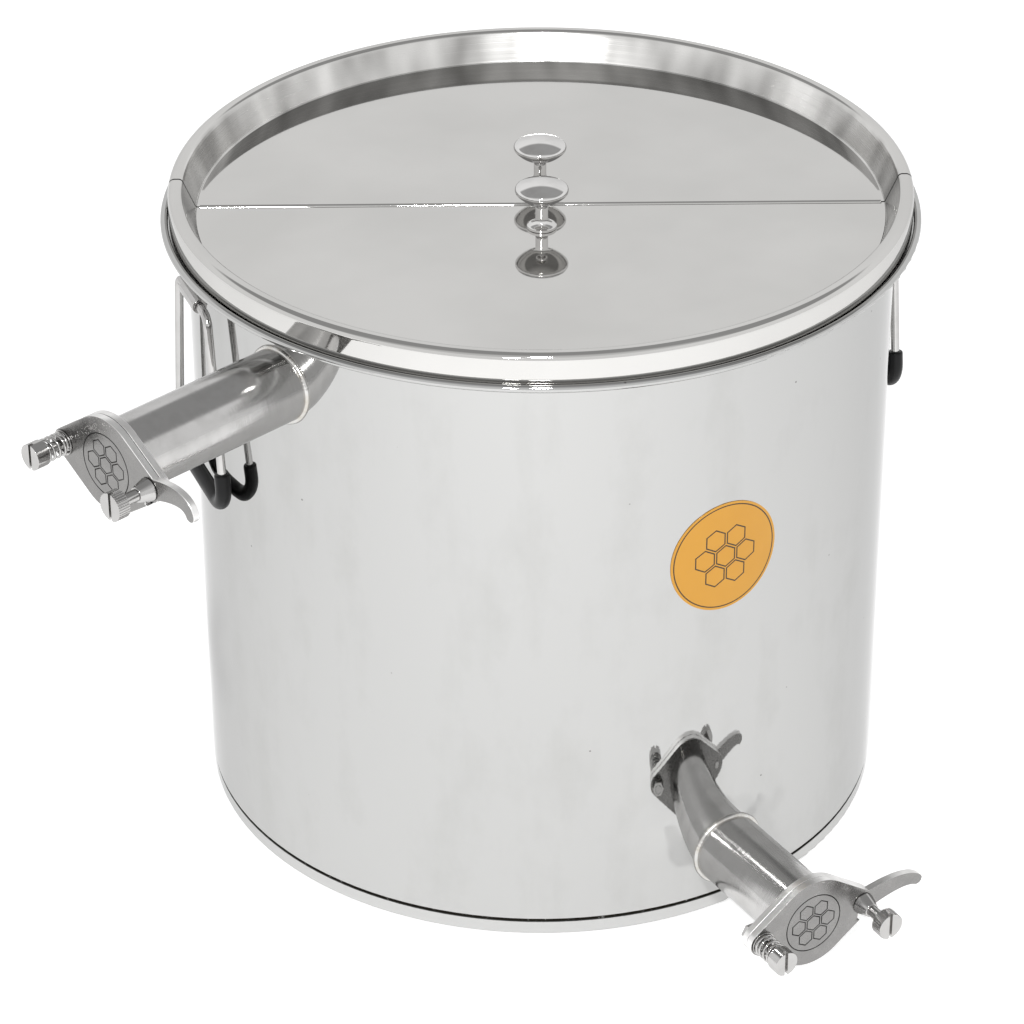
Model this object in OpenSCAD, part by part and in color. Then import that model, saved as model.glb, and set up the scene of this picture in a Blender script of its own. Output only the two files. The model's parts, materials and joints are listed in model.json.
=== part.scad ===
// Honey settling tank: a round steel tank with a two-piece lid, two swing handles
// and two gate valves on outlet tubes. Millimetres, +Z up. The origin is the middle
// of the flat underside, and the lower (drain) outlet faces -Y.

/* [Tank] */
// Outside diameter of the tank wall
tank_d = 480; // [400:1:600]
// Height of the rim flange's upper face above the ground
rim_height = 433.5; // [380:0.5:560]
// Thickness of the wall and floor sheet
sheet_t = 1.2; // [0.8:0.1:1.6]
// Height of the floor pan's band that shows below the wall
base_band_h = 11; // [8:0.5:16]
// How far the floor pan's band stands in from the wall's face
base_band_inset = 0.5; // [0.2:0.1:1]
// Height of the open seam between the floor pan's band and the wall
seam_h = 3; // [1:0.5:5]
// How far the floor pan laps up inside the wall
lap_h = 8; // [4:0.5:12]
// Outer radius of the floor pan's bottom corner
base_corner_r = 3; // [2:0.5:6]
// How far the rim's bead stands out from the wall
rim_reach = 16.8; // [14:0.1:24]
// Inner radius of the bend between wall and rim flange
rim_bend_r = 2.5; // [1:0.5:4]
// Diameter of the wire that the rim's edge is rolled around
rim_wire_d = 2.5; // [2:0.1:3]

/* [Lid] */
// Gap between the lid's skirt and the rim's bead
lid_fit = 0.7; // [0.4:0.1:3]
// Height of the lid from the skirt's lower edge to its crest
lid_h = 22.8; // [18:0.1:32]
// Depth of the lid's floor below its crest
lid_recess = 20.9; // [14:0.1:22]
// Thickness of the lid sheet
lid_t = 1; // [0.8:0.1:1.4]
// Width of the lid's rim between skirt and inner wall, at the top
lid_rim_w = 10; // [9:0.1:14]
// Radius of the rim's outer top edge
lid_outer_r = 4.5; // [2.5:0.1:5]
// Radius of the rim's inner top edge
lid_inner_r = 3; // [2:0.1:4]
// Radius of the corner between the inner wall and the lid's floor
lid_floor_r = 1.5; // [1.5:0.5:6]
// Lean of the lid's inner wall from upright, degrees
lid_lean = 23; // [10:1:30]
// Gap between the two lid halves
split_gap = 1.6; // [1:0.1:3]
// Depth of the folded edge along the split
hem_h = 10; // [6:0.5:16]
// Outer radius of the folded edge
hem_r = 2; // [1.6:0.1:4]
// Direction of the split line, degrees from +X
split_az = -31.2; // [-90:0.1:90]

/* [Lid knobs] */
// Diameter of the knob's head
knob_d = 36; // [28:0.5:44]
// Height of the knob's crown above the middle of its head's rim
knob_crown_h = 5.5; // [4.5:0.5:8]
// Depth of the knob's belly below the middle of its head's rim
knob_belly_h = 10; // [7:0.5:12]
// Radius of the neck between belly and stem
knob_neck_r = 4; // [3:0.5:6]
// Radius of the rim of the knob's head
knob_edge_r = 2.8; // [1.5:0.1:4]
// Height of the middle of the head's rim above the lid's floor
knob_rise = 27.5; // [24:0.5:40]
// Diameter of the knob's stem
knob_stem_d = 8.5; // [8:0.5:12]
// Diameter of the knob's foot
knob_foot_d = 20; // [14:0.5:24]
// Thickness of the knob's foot at its edge
knob_foot_h = 2; // [1:0.5:4]
// Distance of the front knob from the split line
front_knob_setback = 34; // [24:0.5:80]
// Distance of the rear knob from the split line
rear_knob_setback = 31.5; // [24:0.5:80]
// Diameter of the screw that holds each knob
knob_screw_d = 5; // [4:0.5:6]
// Depth of the screw in the knob
knob_thread_depth = 12; // [8:0.5:16]
// Diameter of the knob screw's head
knob_screw_head_d = 10; // [8:0.5:12]
// Height of the knob screw's head
knob_screw_head_h = 3; // [2:0.1:4]
// Outside diameter of the knob's washer
knob_washer_d = 13; // [11:0.5:18]
// Thickness of the knob's washer
knob_washer_t = 1; // [0.6:0.1:2]

/* [Handles] */
// Direction of the left handle, degrees from +X
left_handle_az = 169.6; // [150:0.1:190]
// Direction of the right handle, degrees from +X
right_handle_az = -13.5; // [-40:0.1:20]
// Distance of the handles' pivots below the rim flange's upper face
handle_drop = 20; // [15.5:0.5:100]
// Distance of the handles' pivots from the wall's face
handle_standoff = 7; // [6.5:0.1:10]
// Diameter of the handle wire
bail_wire_d = 6; // [5.9:0.1:6.5]
// Distance between the handle's legs at the pivot
bail_top_w = 62; // [50:0.5:76]
// Distance between the handle's legs at the bottom bar
bail_bottom_w = 102; // [84:0.5:120]
// Distance from the pivot down to the bottom bar
bail_drop = 137; // [110:1:220]
// Diameter of the wire's ends, turned down to enter the hinge tube
hinge_pin_d = 5.4; // [3.5:0.1:5.6]
// Bend radius of the wire at the pivot
bail_top_bend_r = 8; // [4:0.5:14]
// Bend radius of the wire at the bottom bar
bail_bottom_bend_r = 16; // [10:0.5:22]
// Outside diameter of the grip sleeve
grip_d = 11; // [9:0.5:12]
// Length of the grip sleeve up each leg, above the bend
grip_leg = 10; // [6:0.5:40]
// Length of the hinge tube
hinge_len = 30; // [22:0.5:40]
// Outside diameter of the hinge tube
hinge_d = 10; // [9.4:0.1:11]
// Depth of each wire end in the hinge tube
hinge_pin_depth = 9; // [5:0.5:9.5]
// Length of the weld pad behind the hinge tube
hinge_pad_len = 18; // [10:0.5:20]
// Height of the weld pad behind the hinge tube
hinge_pad_h = 6; // [4:0.5:8]

/* [Outlets] */
// Direction of the lower outlet, degrees from +X
lower_az = -90; // [-100:0.1:-80]
// Height of the lower outlet's axis above the ground
lower_z = 47; // [46:0.5:120]
// Distance from the wall's face to the front of the lower gate
lower_reach = 100; // [70:0.5:160]
// Direction of the upper outlet, degrees from +X
upper_az = -166.8; // [-176:0.1:-140]
// Distance of the upper outlet's axis below the rim flange's upper face
upper_drop = 42; // [37:0.5:110]
// Distance from the wall's face to the front of the upper gate
upper_reach = 144.5; // [70:0.5:160]
// Outside diameter of the outlet tubes
outlet_d = 50; // [44:0.5:52]
// Wall thickness of the outlet tubes
outlet_t = 1.5; // [1:0.1:2.5]
// Radius of the weld bead round each outlet
weld_r = 3; // [3:0.1:5]

/* [Gate valves] */
// Diameter of the valve flange and of the gate plate
plate_d = 66; // [62:0.5:69]
// Distance of each ear's hole from the valve's axis
ear_offset = 41; // [40:0.5:48]
// Radius of the ears
ear_r = 9.5; // [9:0.1:11]
// Thickness of the valve flange
flange_t = 5; // [4:0.1:8]
// Thickness of the gate plate
gate_t = 5; // [4:0.1:8]
// Section diameter of the seal ring
seal_d = 2.8; // [2:0.1:3]
// Radius of the middle of the seal ring
seal_r = 28; // [27:0.1:29]
// Width of the lever where it leaves the ear
lever_root_w = 15; // [10:0.5:18]
// Width of the lever at its tip
lever_tip_w = 8; // [5:0.5:10]
// Height of the lever's arch above the ear
lever_bow = 10; // [4:0.5:16]
// How far the arch's crown lies beyond the ear
lever_bow_reach = 33.5; // [20:0.5:40]
// How far the lower lever's tip lies beyond the ear
lower_lever_reach = 45; // [30:0.5:60]
// Height of the lower lever's tip above the ear
lower_lever_rise = 2; // [-8:0.5:8]
// How far the upper lever's tip lies beyond the ear
upper_lever_reach = 38; // [30:0.5:60]
// Height of the upper lever's tip above the ear
upper_lever_rise = -4; // [-8:0.5:8]
// Outer diameter of the engraved ring on the gate
emblem_d = 44; // [36:0.5:50]
// Width across flats of each engraved cell
emblem_cell_w = 11; // [8:0.5:12]
// Width of the engraved lines
emblem_line_w = 0.8; // [0.4:0.1:1.2]
// Depth of the engraved lines
emblem_depth = 0.4; // [0.2:0.1:0.8]

/* [Pivot screws] */
// Diameter of the pivot screw's shank
pivot_d = 7; // [6:0.5:8]
// Diameter of the pivot screw's head
pivot_head_d = 17.5; // [15:0.5:19]
// Height of the pivot screw's head
pivot_head_h = 9; // [6:0.5:11]
// Distance from the gate's front to the face of the pivot screw's head
pivot_reach = 27; // [24:0.5:34]
// Outside diameter of the spring washer
pivot_washer_d = 17; // [15:0.5:19]
// Thickness of the spring washer
pivot_washer_t = 1; // [0.6:0.1:2]
// Width across flats of the lock nut behind the flange
locknut_w = 12; // [11:0.5:14]
// Height of the lock nut
locknut_h = 5; // [3:0.5:7]
// Outside diameter of the pivot spring
spring_d = 16; // [14:0.5:18]
// Wire diameter of the pivot spring
spring_wire_d = 1.8; // [1.2:0.1:2]
// Turns of the pivot spring
spring_turns = 4; // [2:1:4]

/* [Clamp screws] */
// Diameter of the clamp screw's threaded shank
clamp_d = 6; // [5:0.5:6.5]
// Diameter of the clamp screw's neck
clamp_neck_d = 8; // [7.5:0.1:9]
// Diameter of the clamp screw's head
clamp_head_d = 19; // [14:0.5:20]
// Height of the clamp screw's head
clamp_head_h = 8.5; // [6:0.5:12]
// Distance from the gate's front to the face of the clamp screw's head
clamp_reach = 31; // [28:0.5:40]
// Diameter of the clamp collar where it meets the gate
collar_d = 16; // [13:0.5:18]
// Diameter of the clamp collar's front
collar_front_d = 10; // [9:0.5:12]
// Length of the clamp collar
collar_len = 10; // [7:0.5:12]
// Number of grooves round the clamp screw's head
knurl_count = 36; // [24:1:48]
// Radius of each groove round the clamp screw's head
knurl_r = 0.45; // [0.3:0.05:0.6]
// Width of the driver slots
slot_w = 2.2; // [1.2:0.1:3]
// Depth of the driver slots
slot_depth = 3; // [1:0.1:4]

/* [Label] */
// Diameter of the round label
label_d = 80; // [50:1:100]
// Thickness of the label
label_t = 0.3; // [0.1:0.05:0.5]
// Direction of the label's middle, degrees from +X
label_az = -92.2; // [-120:0.1:-60]
// Distance of the label's middle below the rim flange's upper face
label_drop = 148.7; // [120:0.1:220]

/* [Fits] */
// Gap between pieces that are fixed together
fit_gap = 0.1; // [0.05:0.05:0.2]
// Gap between pieces that move past each other
run_gap = 0.3; // [0.2:0.05:0.4]
// How far cutting shapes run past what they cut
overrun = 1; // [0.5:0.1:2]

/* [Hidden] */

$fn = 96;
wide_fn = 180;

steel = [0.82, 0.82, 0.83];
bright_steel = [0.88, 0.88, 0.89];
dark_steel = [0.62, 0.62, 0.63];
weld_steel = [0.72, 0.69, 0.63];
grip_black = [0.06, 0.06, 0.07];
seal_black = [0.1, 0.1, 0.1];
amber = [0.88, 0.69, 0.27];

// Tank
tank_r = tank_d / 2;
wall_z = base_band_h + seam_h;
band_r = tank_r - base_band_inset;
lap_r = tank_r - sheet_t - fit_gap;
bead_r = rim_wire_d / 2 + fit_gap + sheet_t;
bead_x = tank_r + rim_reach - bead_r;
bead_z = rim_height - sheet_t + bead_r;
curl_end = 200;
label_z = rim_height - label_drop;

// Lid section, seen as radius and height
lid_bottom = rim_height + run_gap;
lid_top = lid_bottom + lid_h;
lid_floor_z = lid_top - lid_recess;
lid_r = bead_x - bead_r - lid_fit;
lid_normal = [-cos(lid_lean), sin(lid_lean)];
outer_edge_c = [lid_r - lid_outer_r, lid_top - lid_outer_r];
inner_edge_c = [lid_r - lid_rim_w + lid_inner_r, lid_top - lid_inner_r];
inner_wall_drop = inner_edge_c[1] + lid_inner_r * lid_normal[1] - lid_floor_z - lid_floor_r
    + lid_floor_r * lid_normal[1];
floor_edge_c = inner_edge_c + (lid_inner_r + lid_floor_r) * lid_normal
    - inner_wall_drop * [tan(lid_lean), 1];
hem_y = split_gap / 2;
hem_half = floor_edge_c[0] - lid_floor_r;

// Knob section, seen as radius and height from the middle of the head's rim: crown and belly are
// arcs tangent to the rim, and the neck is an arc from the belly into the stem
knob_edge_x = knob_d / 2 - knob_edge_r;
knob_crown_drop = (pow(knob_edge_x, 2) - pow(knob_crown_h - knob_edge_r, 2))
    / (2 * (knob_crown_h - knob_edge_r));
knob_crown_r = knob_crown_h + knob_crown_drop;
knob_crown_x = knob_edge_x * knob_crown_r / (knob_crown_r - knob_edge_r);
knob_belly_lift = (pow(knob_edge_x, 2) - pow(knob_belly_h - knob_edge_r, 2))
    / (2 * (knob_belly_h - knob_edge_r));
knob_belly_r = knob_belly_h + knob_belly_lift;
knob_belly_x = knob_edge_x * knob_belly_r / (knob_belly_r - knob_edge_r);
knob_neck_x = knob_stem_d / 2 + knob_neck_r;
knob_neck_turn = asin(knob_neck_x / (knob_belly_r + knob_neck_r));
knob_neck_z = knob_belly_lift - (knob_belly_r + knob_neck_r) * cos(knob_neck_turn);
knob_neck_top = [0, knob_belly_lift] + knob_belly_r * [sin(knob_neck_turn), -cos(knob_neck_turn)];
knob_foot_fillet = (knob_foot_d - knob_stem_d) / 2;

// Handles: the wire's corner points, pivot at the origin, hanging down
handle_r = tank_r + handle_standoff;
handle_z = rim_height - handle_drop;
hinge_bore_d = hinge_pin_d + 2 * run_gap;
pin_end = hinge_len / 2 - hinge_pin_depth;
shoulder = hinge_len / 2 + run_gap;
bail_corners = [
    [-shoulder, 0], [-bail_top_w / 2, 0], [-bail_bottom_w / 2, -bail_drop],
    [bail_bottom_w / 2, -bail_drop], [bail_top_w / 2, 0], [shoulder, 0]
];
bail_bends = [0, bail_top_bend_r, bail_bottom_bend_r, bail_bottom_bend_r, bail_top_bend_r, 0];
leg_up = unit(bail_corners[1] - bail_corners[2]);
grip_rise = bend_trim(bail_corners, bail_bends, 2) + grip_leg;
grip_end = bail_corners[2] + grip_rise * leg_up;
grip_corners = [grip_end, bail_corners[2], bail_corners[3], [-grip_end[0], grip_end[1]]];
grip_bends = [0, bail_bottom_bend_r, bail_bottom_bend_r, 0];
bend_steps = 8;
wire_sides = 16;
bail_path = bent_path(bail_corners, bail_bends);
grip_path = bent_path(grip_corners, grip_bends);

// Valves: distances along the outlet, zero at the gate's front face, plus is outward
upper_z = rim_height - upper_drop;
flange_front = -gate_t - run_gap;
flange_back = flange_front - flange_t;
outlet_bore_r = outlet_d / 2 - outlet_t;
seal_groove_depth = seal_d + fit_gap;
slot_r = clamp_d / 2 + 2 * run_gap;
swing_r = 2 * ear_offset;
washer_z = run_gap;
spring_z = washer_z + pivot_washer_t + fit_gap;
pivot_head_z = pivot_reach - pivot_head_h;
spring_len = pivot_head_z - fit_gap - spring_z;
spring_r = (spring_d - spring_wire_d) / 2;
pivot_end_z = flange_back - fit_gap - locknut_h - fit_gap;
collar_z = run_gap;
neck_z = collar_z + collar_len + fit_gap;
clamp_head_z = clamp_reach - clamp_head_h;
clamp_end_z = flange_back - fit_gap;
hex_ratio = 1 / cos(30);

// Lever outline: a tapering arch, in shares of its length
lever_steps = 16;
lever_shares = [for (i = [0 : lever_steps]) i / lever_steps];
tip_steps = 8;
tip_shares = [for (i = [1 : tip_steps - 1]) i / tip_steps];

// A corner whose half turn has a cosine below this is mitred
sharp_share = 0.8;

// Spring path: rings per turn and sides per ring
spring_rings = 8;
spring_sides = 6;
spring_coil_steps = spring_turns * spring_rings;
spring_pitch = (spring_len - 2 * spring_wire_d) / spring_turns;
spring_path = concat(
    [[spring_r, 0, 0]],
    [for (i = [0 : spring_coil_steps]) spring_point(i)],
    [[spring_r, 0, spring_len]]
);
spring_gaps = [
    for (i = [0 : len(spring_path) - 1])
        for (j = [i + spring_rings / 2 : 1 : len(spring_path) - 1])
            norm(spring_path[i] - spring_path[j]) - spring_wire_d
];
echo("pivot spring, least gap to itself in mm", min(spring_gaps));

function unit(v) = v / norm(v);

// Angle that a wire turns through at corner i, plus is to the left
function bend_turn(points, i) =
    let (a = points[i] - points[i - 1], b = points[i + 1] - points[i])
    atan2(a[0] * b[1] - a[1] * b[0], a[0] * b[0] + a[1] * b[1]);

// Length that the bend at corner i takes from each straight beside it
function bend_trim(points, bends, i) =
    i == 0 || i == len(points) - 1 ? 0 : bends[i] * tan(abs(bend_turn(points, i)) / 2);

// Point of the bend at corner i, at a share of its turn
function bend_point(points, bends, i, share) =
    let (turn = bend_turn(points, i), into = unit(points[i] - points[i - 1]))
    let (from = points[i] - bend_trim(points, bends, i) * into)
    let (left = sign(turn) * [-into[1], into[0]], angle = abs(turn) * share)
    from + bends[i] * (sin(angle) * into + (1 - cos(angle)) * left);

// Centre line of a bent wire in the XY plane: its ends, and points round each bend
function bent_path(points, bends) =
    let (last = len(points) - 1)
    let (flat = concat(
        [points[0]],
        [for (i = [1 : last - 1]) for (k = [0 : bend_steps])
            bend_point(points, bends, i, k / bend_steps)],
        [points[last]]
    ))
    [for (p = flat) [p[0], p[1], 0]];

// Ring of points square to a path at its point i, mitred where the path turns sharply
function path_ring(path, refs, i, d, sides) =
    let (last = len(path) - 1)
    let (into = unit(path[max(i, 1)] - path[max(i, 1) - 1]))
    let (out = unit(path[min(i, last - 1) + 1] - path[min(i, last - 1)]))
    let (along = unit(into + out), across = unit(cross(along, refs[i])))
    let (side = cross(across, along), bend_share = along * out)
    let (stretch = bend_share < sharp_share ? 1 / bend_share : 1)
    [
        for (k = [0 : sides - 1])
            let (turn = 360 * k / sides)
            path[i] + d / 2 * (cos(turn) * side + stretch * sin(turn) * across)
    ];

// Points of all rings along a path
function path_rings(path, refs, d, sides) = [
    for (i = [0 : len(path) - 1]) each path_ring(path, refs, i, d, sides)
];

// Triangles between neighbouring rings, the first point numbered from base
function ring_sides(count, sides, base) = [
    for (i = [0 : count - 2])
        for (k = [0 : sides - 1])
            let (a = base + i * sides + k, b = base + i * sides + (k + 1) % sides)
            each [[a, a + sides, b], [b, a + sides, b + sides]]
];

// Triangles that close the first and the last ring
function ring_caps(count, sides) =
    let (last = (count - 1) * sides)
    [for (k = [1 : sides - 2]) each [[0, k, k + 1], [last, last + k + 1, last + k]]];

// Triangles that join an outer tube's end rings to those of the tube inside it
function ring_ends(count, sides) =
    let (inner = count * sides, last = (count - 1) * sides)
    [
        for (k = [0 : sides - 1])
            let (a = k, b = (k + 1) % sides)
            each [
                [a, b, inner + a], [b, inner + b, inner + a],
                [last + a, inner + last + a, last + b],
                [last + b, inner + last + a, inner + last + b]
            ]
    ];

// Point of the spring's helix, step i
function spring_point(i) = [
    spring_r * cos(360 * i / spring_rings),
    spring_r * sin(360 * i / spring_rings),
    spring_wire_d + spring_pitch * i / spring_rings
];

// Point of a lever's centre line, from the ear's middle to the tip
function lever_point(reach, rise, share) =
    2 * share * (1 - share) * [lever_bow_reach, lever_bow] + share * share * [reach, rise];

// Direction of a lever's centre line
function lever_along(reach, rise, share) = unit(
    2 * (1 - 2 * share) * [lever_bow_reach, lever_bow] + 2 * share * [reach, rise]
);

// Point on one side of a lever, side is 1 for its upper edge and -1 for its lower one
function lever_edge(reach, rise, share, side) =
    let (along = lever_along(reach, rise, share))
    let (half_w = (lever_root_w + share * (lever_tip_w - lever_root_w)) / 2)
    lever_point(reach, rise, share) + side * half_w * [-along[1], along[0]];

// Point on the lever's round tip, share runs from its upper to its lower edge
function lever_tip(reach, rise, share) =
    let (along = lever_along(reach, rise, 1), turn = 90 - 180 * share)
    [reach, rise] + lever_tip_w / 2 * (cos(turn) * along + sin(turn) * [-along[1], along[0]]);

// Puts a shape on the wall: X runs to the right seen from outside, Y up, Z outward
// from the tank's axis
module on_wall(az, height) {
    rotate([0, 0, az]) translate([0, 0, height]) rotate([90, 0, 90]) children();
}

// Solid of the tank's outside, to fit pieces to the wall
module tank_body() {
    cylinder(r = tank_r, h = rim_height, $fn = wide_fn);
}

// Solid wire along a path
module wire(path, refs, d, sides) {
    count = len(path);
    polyhedron(
        points = path_rings(path, refs, d, sides),
        faces = concat(ring_sides(count, sides, 0), ring_caps(count, sides))
    );
}

// Hollow sleeve along a path
module sleeve(path, refs, outer_d, inner_d, sides) {
    count = len(path);
    inner_sides = ring_sides(count, sides, count * sides);
    polyhedron(
        points = concat(
            path_rings(path, refs, outer_d, sides), path_rings(path, refs, inner_d, sides)
        ),
        faces = concat(
            ring_sides(count, sides, 0), [for (f = inner_sides) [f[0], f[2], f[1]]],
            ring_ends(count, sides)
        )
    );
}

// Outline of flange and gate: a disc with straight flanks to an ear on each side
module plate_outline() {
    flank = acos((plate_d / 2 - ear_r) / ear_offset);
    rim = plate_d / 2 * [cos(flank), sin(flank)];
    ear = [ear_offset, 0] + ear_r * [cos(flank), sin(flank)];
    circle(d = plate_d);
    for (x = [-ear_offset, ear_offset]) translate([x, 0]) circle(r = ear_r);
    polygon([
        rim, [-rim[0], rim[1]], [-ear[0], ear[1]], [-ear[0], -ear[1]],
        [-rim[0], -rim[1]], [rim[0], -rim[1]], [ear[0], -ear[1]], ear
    ]);
}

// Driver slot across a screw head whose face lies at the given height
module driver_slot(face, d, depth) {
    translate([-slot_w / 2, -d / 2 - overrun, face - depth])
        cube([slot_w, d + 2 * overrun, depth + overrun]);
}

module tank_wall() {
    color(steel) difference() {
        rotate_extrude($fn = wide_fn) tank_wall_section();
        for (outlet = [[lower_az, lower_z], [upper_az, upper_z]])
            on_wall(outlet[0], outlet[1]) cylinder(r = outlet_bore_r, h = tank_d);
    }
}

// Wall, outward flange and the curl round the rim wire
module tank_wall_section() {
    bend_x = tank_r + rim_bend_r;
    bend_z = rim_height - sheet_t - rim_bend_r;
    translate([tank_r - sheet_t, wall_z]) square([sheet_t, bend_z - wall_z]);
    intersection() {
        difference() {
            translate([bend_x, bend_z]) circle(r = rim_bend_r + sheet_t);
            translate([bend_x, bend_z]) circle(r = rim_bend_r);
        }
        translate([tank_r - sheet_t, bend_z])
            square([rim_bend_r + sheet_t, rim_bend_r + sheet_t]);
    }
    translate([bend_x, rim_height - sheet_t]) square([bead_x - bend_x, sheet_t]);
    difference() {
        translate([bead_x, bead_z]) circle(r = bead_r);
        translate([bead_x, bead_z]) circle(r = bead_r - sheet_t);
        translate([bead_x, bead_z]) polygon([
            [0, 0], 2 * bead_r * [cos(curl_end), sin(curl_end)],
            2 * bead_r * [-1, -1], 2 * bead_r * [0, -1]
        ]);
    }
}

module tank_floor() {
    inner_r = base_corner_r - sheet_t;
    color(steel) rotate_extrude($fn = wide_fn) {
        square([band_r - base_corner_r, sheet_t]);
        intersection() {
            translate([band_r - base_corner_r, base_corner_r]) difference() {
                circle(r = base_corner_r);
                circle(r = inner_r);
            }
            translate([band_r - base_corner_r, 0]) square(base_corner_r);
        }
        translate([band_r - sheet_t, base_corner_r])
            square([sheet_t, base_band_h - base_corner_r]);
        translate([lap_r - sheet_t, base_band_h - sheet_t])
            square([band_r - lap_r + sheet_t, sheet_t]);
        translate([lap_r - sheet_t, base_band_h - sheet_t])
            square([sheet_t, sheet_t + seam_h + lap_h]);
    }
}

module rim_wire() {
    color(dark_steel) rotate_extrude($fn = wide_fn)
        translate([bead_x, bead_z]) circle(d = rim_wire_d);
}

module label() {
    color(amber) intersection() {
        on_wall(label_az, label_z) cylinder(d = label_d, h = tank_d);
        difference() {
            cylinder(r = tank_r + fit_gap + label_t, h = rim_height, $fn = wide_fn);
            translate([0, 0, -overrun])
                cylinder(r = tank_r + fit_gap, h = rim_height + 2 * overrun, $fn = wide_fn);
        }
    }
}

// Everything below the lid's skin, the skin sunk by the given depth
module lid_fill(depth, bottom) {
    inner_top = inner_edge_c + (lid_inner_r - depth) * lid_normal;
    inner_foot = floor_edge_c - (lid_floor_r + depth) * lid_normal;
    difference() {
        union() {
            polygon([
                [0, bottom], [0, lid_floor_z - depth], [floor_edge_c[0], lid_floor_z - depth],
                inner_foot, inner_top, [inner_edge_c[0], lid_top - depth],
                [outer_edge_c[0], lid_top - depth], [lid_r - depth, outer_edge_c[1]],
                [lid_r - depth, bottom]
            ]);
            translate(inner_edge_c) circle(r = lid_inner_r - depth);
            translate(outer_edge_c) circle(r = lid_outer_r - depth);
        }
        translate(floor_edge_c) circle(r = lid_floor_r + depth);
    }
}

// Folded edge of a lid half: the floor turns down along the split
module lid_hem() {
    rotate([90, 0, 90]) translate([0, 0, -hem_half]) linear_extrude(2 * hem_half) {
        translate([hem_y, lid_floor_z - hem_h]) square([lid_t, hem_h - hem_r]);
        intersection() {
            translate([hem_y + hem_r, lid_floor_z - hem_r]) difference() {
                circle(r = hem_r);
                circle(r = hem_r - lid_t);
            }
            translate([hem_y, lid_floor_z - hem_r]) square(hem_r);
        }
    }
}

// Half of the lid on the +Y side of the split, with the hole for its knob
module lid_half(setback) {
    difference() {
        rotate_extrude($fn = wide_fn) difference() {
            lid_fill(0, lid_bottom);
            lid_fill(lid_t, lid_bottom - overrun);
        }
        translate([-2 * lid_r, hem_y - 4 * lid_r, 0]) cube([4 * lid_r, 4 * lid_r, 2 * lid_top]);
        translate([-hem_half, 0, lid_floor_z - lid_t - overrun])
            cube([2 * hem_half, hem_y + hem_r, lid_t + 2 * overrun]);
        translate([0, setback, lid_floor_z - lid_t - overrun])
            cylinder(d = knob_screw_d + 2 * fit_gap, h = lid_t + 2 * overrun);
    }
    lid_hem();
}

// Turns a piece of the rear lid half, drawn on +Y, into its place
module on_rear_lid() {
    rotate([0, 0, split_az]) children();
}

// Turns a piece of the front lid half, drawn on +Y, into its place
module on_front_lid() {
    rotate([0, 0, split_az + 180]) children();
}

// Turned steel knob: a foot, a stem that widens into the head's belly, and a domed crown
module lid_knob(setback) {
    translate([0, setback, lid_floor_z + fit_gap]) difference() {
        rotate_extrude() {
            square([knob_foot_d / 2, knob_foot_h]);
            difference() {
                square([knob_foot_d / 2, knob_foot_h + knob_foot_fillet]);
                translate([knob_foot_d / 2, knob_foot_h + knob_foot_fillet])
                    circle(r = knob_foot_fillet);
            }
            square([knob_stem_d / 2, knob_rise]);
            translate([knob_edge_x, knob_rise]) circle(r = knob_edge_r);
            intersection() {
                translate([0, knob_rise - knob_crown_drop]) circle(r = knob_crown_r);
                translate([0, knob_rise]) square([knob_crown_x, knob_crown_h]);
            }
            intersection() {
                translate([0, knob_rise + knob_belly_lift]) circle(r = knob_belly_r);
                translate([0, knob_rise - knob_belly_h]) square([knob_belly_x, knob_belly_h]);
            }
            translate([0, knob_rise]) difference() {
                polygon([
                    [0, knob_neck_top[1]], [0, knob_neck_z], [knob_stem_d / 2, knob_neck_z], knob_neck_top
                ]);
                translate([knob_neck_x, knob_neck_z]) circle(r = knob_neck_r);
            }
        }
        translate([0, 0, -overrun])
            cylinder(d = knob_screw_d + 2 * fit_gap, h = knob_thread_depth + overrun);
    }
}

module knob_screw(setback) {
    under = lid_floor_z - lid_t - 2 * fit_gap - knob_washer_t;
    translate([0, setback, under]) {
        cylinder(d = knob_screw_d, h = lid_floor_z - under + knob_thread_depth - fit_gap);
        translate([0, 0, -knob_screw_head_h]) difference() {
            cylinder(d = knob_screw_head_d, h = knob_screw_head_h);
            mirror([0, 0, 1]) driver_slot(0, knob_screw_head_d, knob_screw_head_h / 2);
        }
    }
}

module knob_washer(setback) {
    translate([0, setback, lid_floor_z - lid_t - fit_gap - knob_washer_t]) difference() {
        cylinder(d = knob_washer_d, h = knob_washer_t);
        translate([0, 0, -overrun])
            cylinder(d = knob_screw_d + 2 * fit_gap, h = knob_washer_t + 2 * overrun);
    }
}

module lid_front() {
    color(bright_steel) on_front_lid() lid_half(front_knob_setback);
}

module lid_front_knob() {
    color(bright_steel) on_front_lid() lid_knob(front_knob_setback);
}

module lid_front_screw() {
    color(dark_steel) on_front_lid() knob_screw(front_knob_setback);
}

module lid_front_washer() {
    color(steel) on_front_lid() knob_washer(front_knob_setback);
}

module lid_rear() {
    color(bright_steel) on_rear_lid() lid_half(rear_knob_setback);
}

module lid_rear_knob() {
    color(bright_steel) on_rear_lid() lid_knob(rear_knob_setback);
}

module lid_rear_screw() {
    color(dark_steel) on_rear_lid() knob_screw(rear_knob_setback);
}

module lid_rear_washer() {
    color(steel) on_rear_lid() knob_washer(rear_knob_setback);
}

// Hinge tube and the pad that welds it to the wall
module handle_hinge(az) {
    color(steel) difference() {
        on_wall(az, handle_z) difference() {
            union() {
                translate([-hinge_len / 2, 0, handle_r]) rotate([0, 90, 0])
                    cylinder(d = hinge_d, h = hinge_len);
                translate([-hinge_pad_len / 2, -hinge_pad_h / 2, tank_r - overrun])
                    cube([hinge_pad_len, hinge_pad_h, handle_standoff + overrun]);
            }
            translate([-hinge_len / 2 - overrun, 0, handle_r]) rotate([0, 90, 0])
                cylinder(d = hinge_bore_d, h = hinge_len + 2 * overrun);
        }
        tank_body();
    }
}

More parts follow.
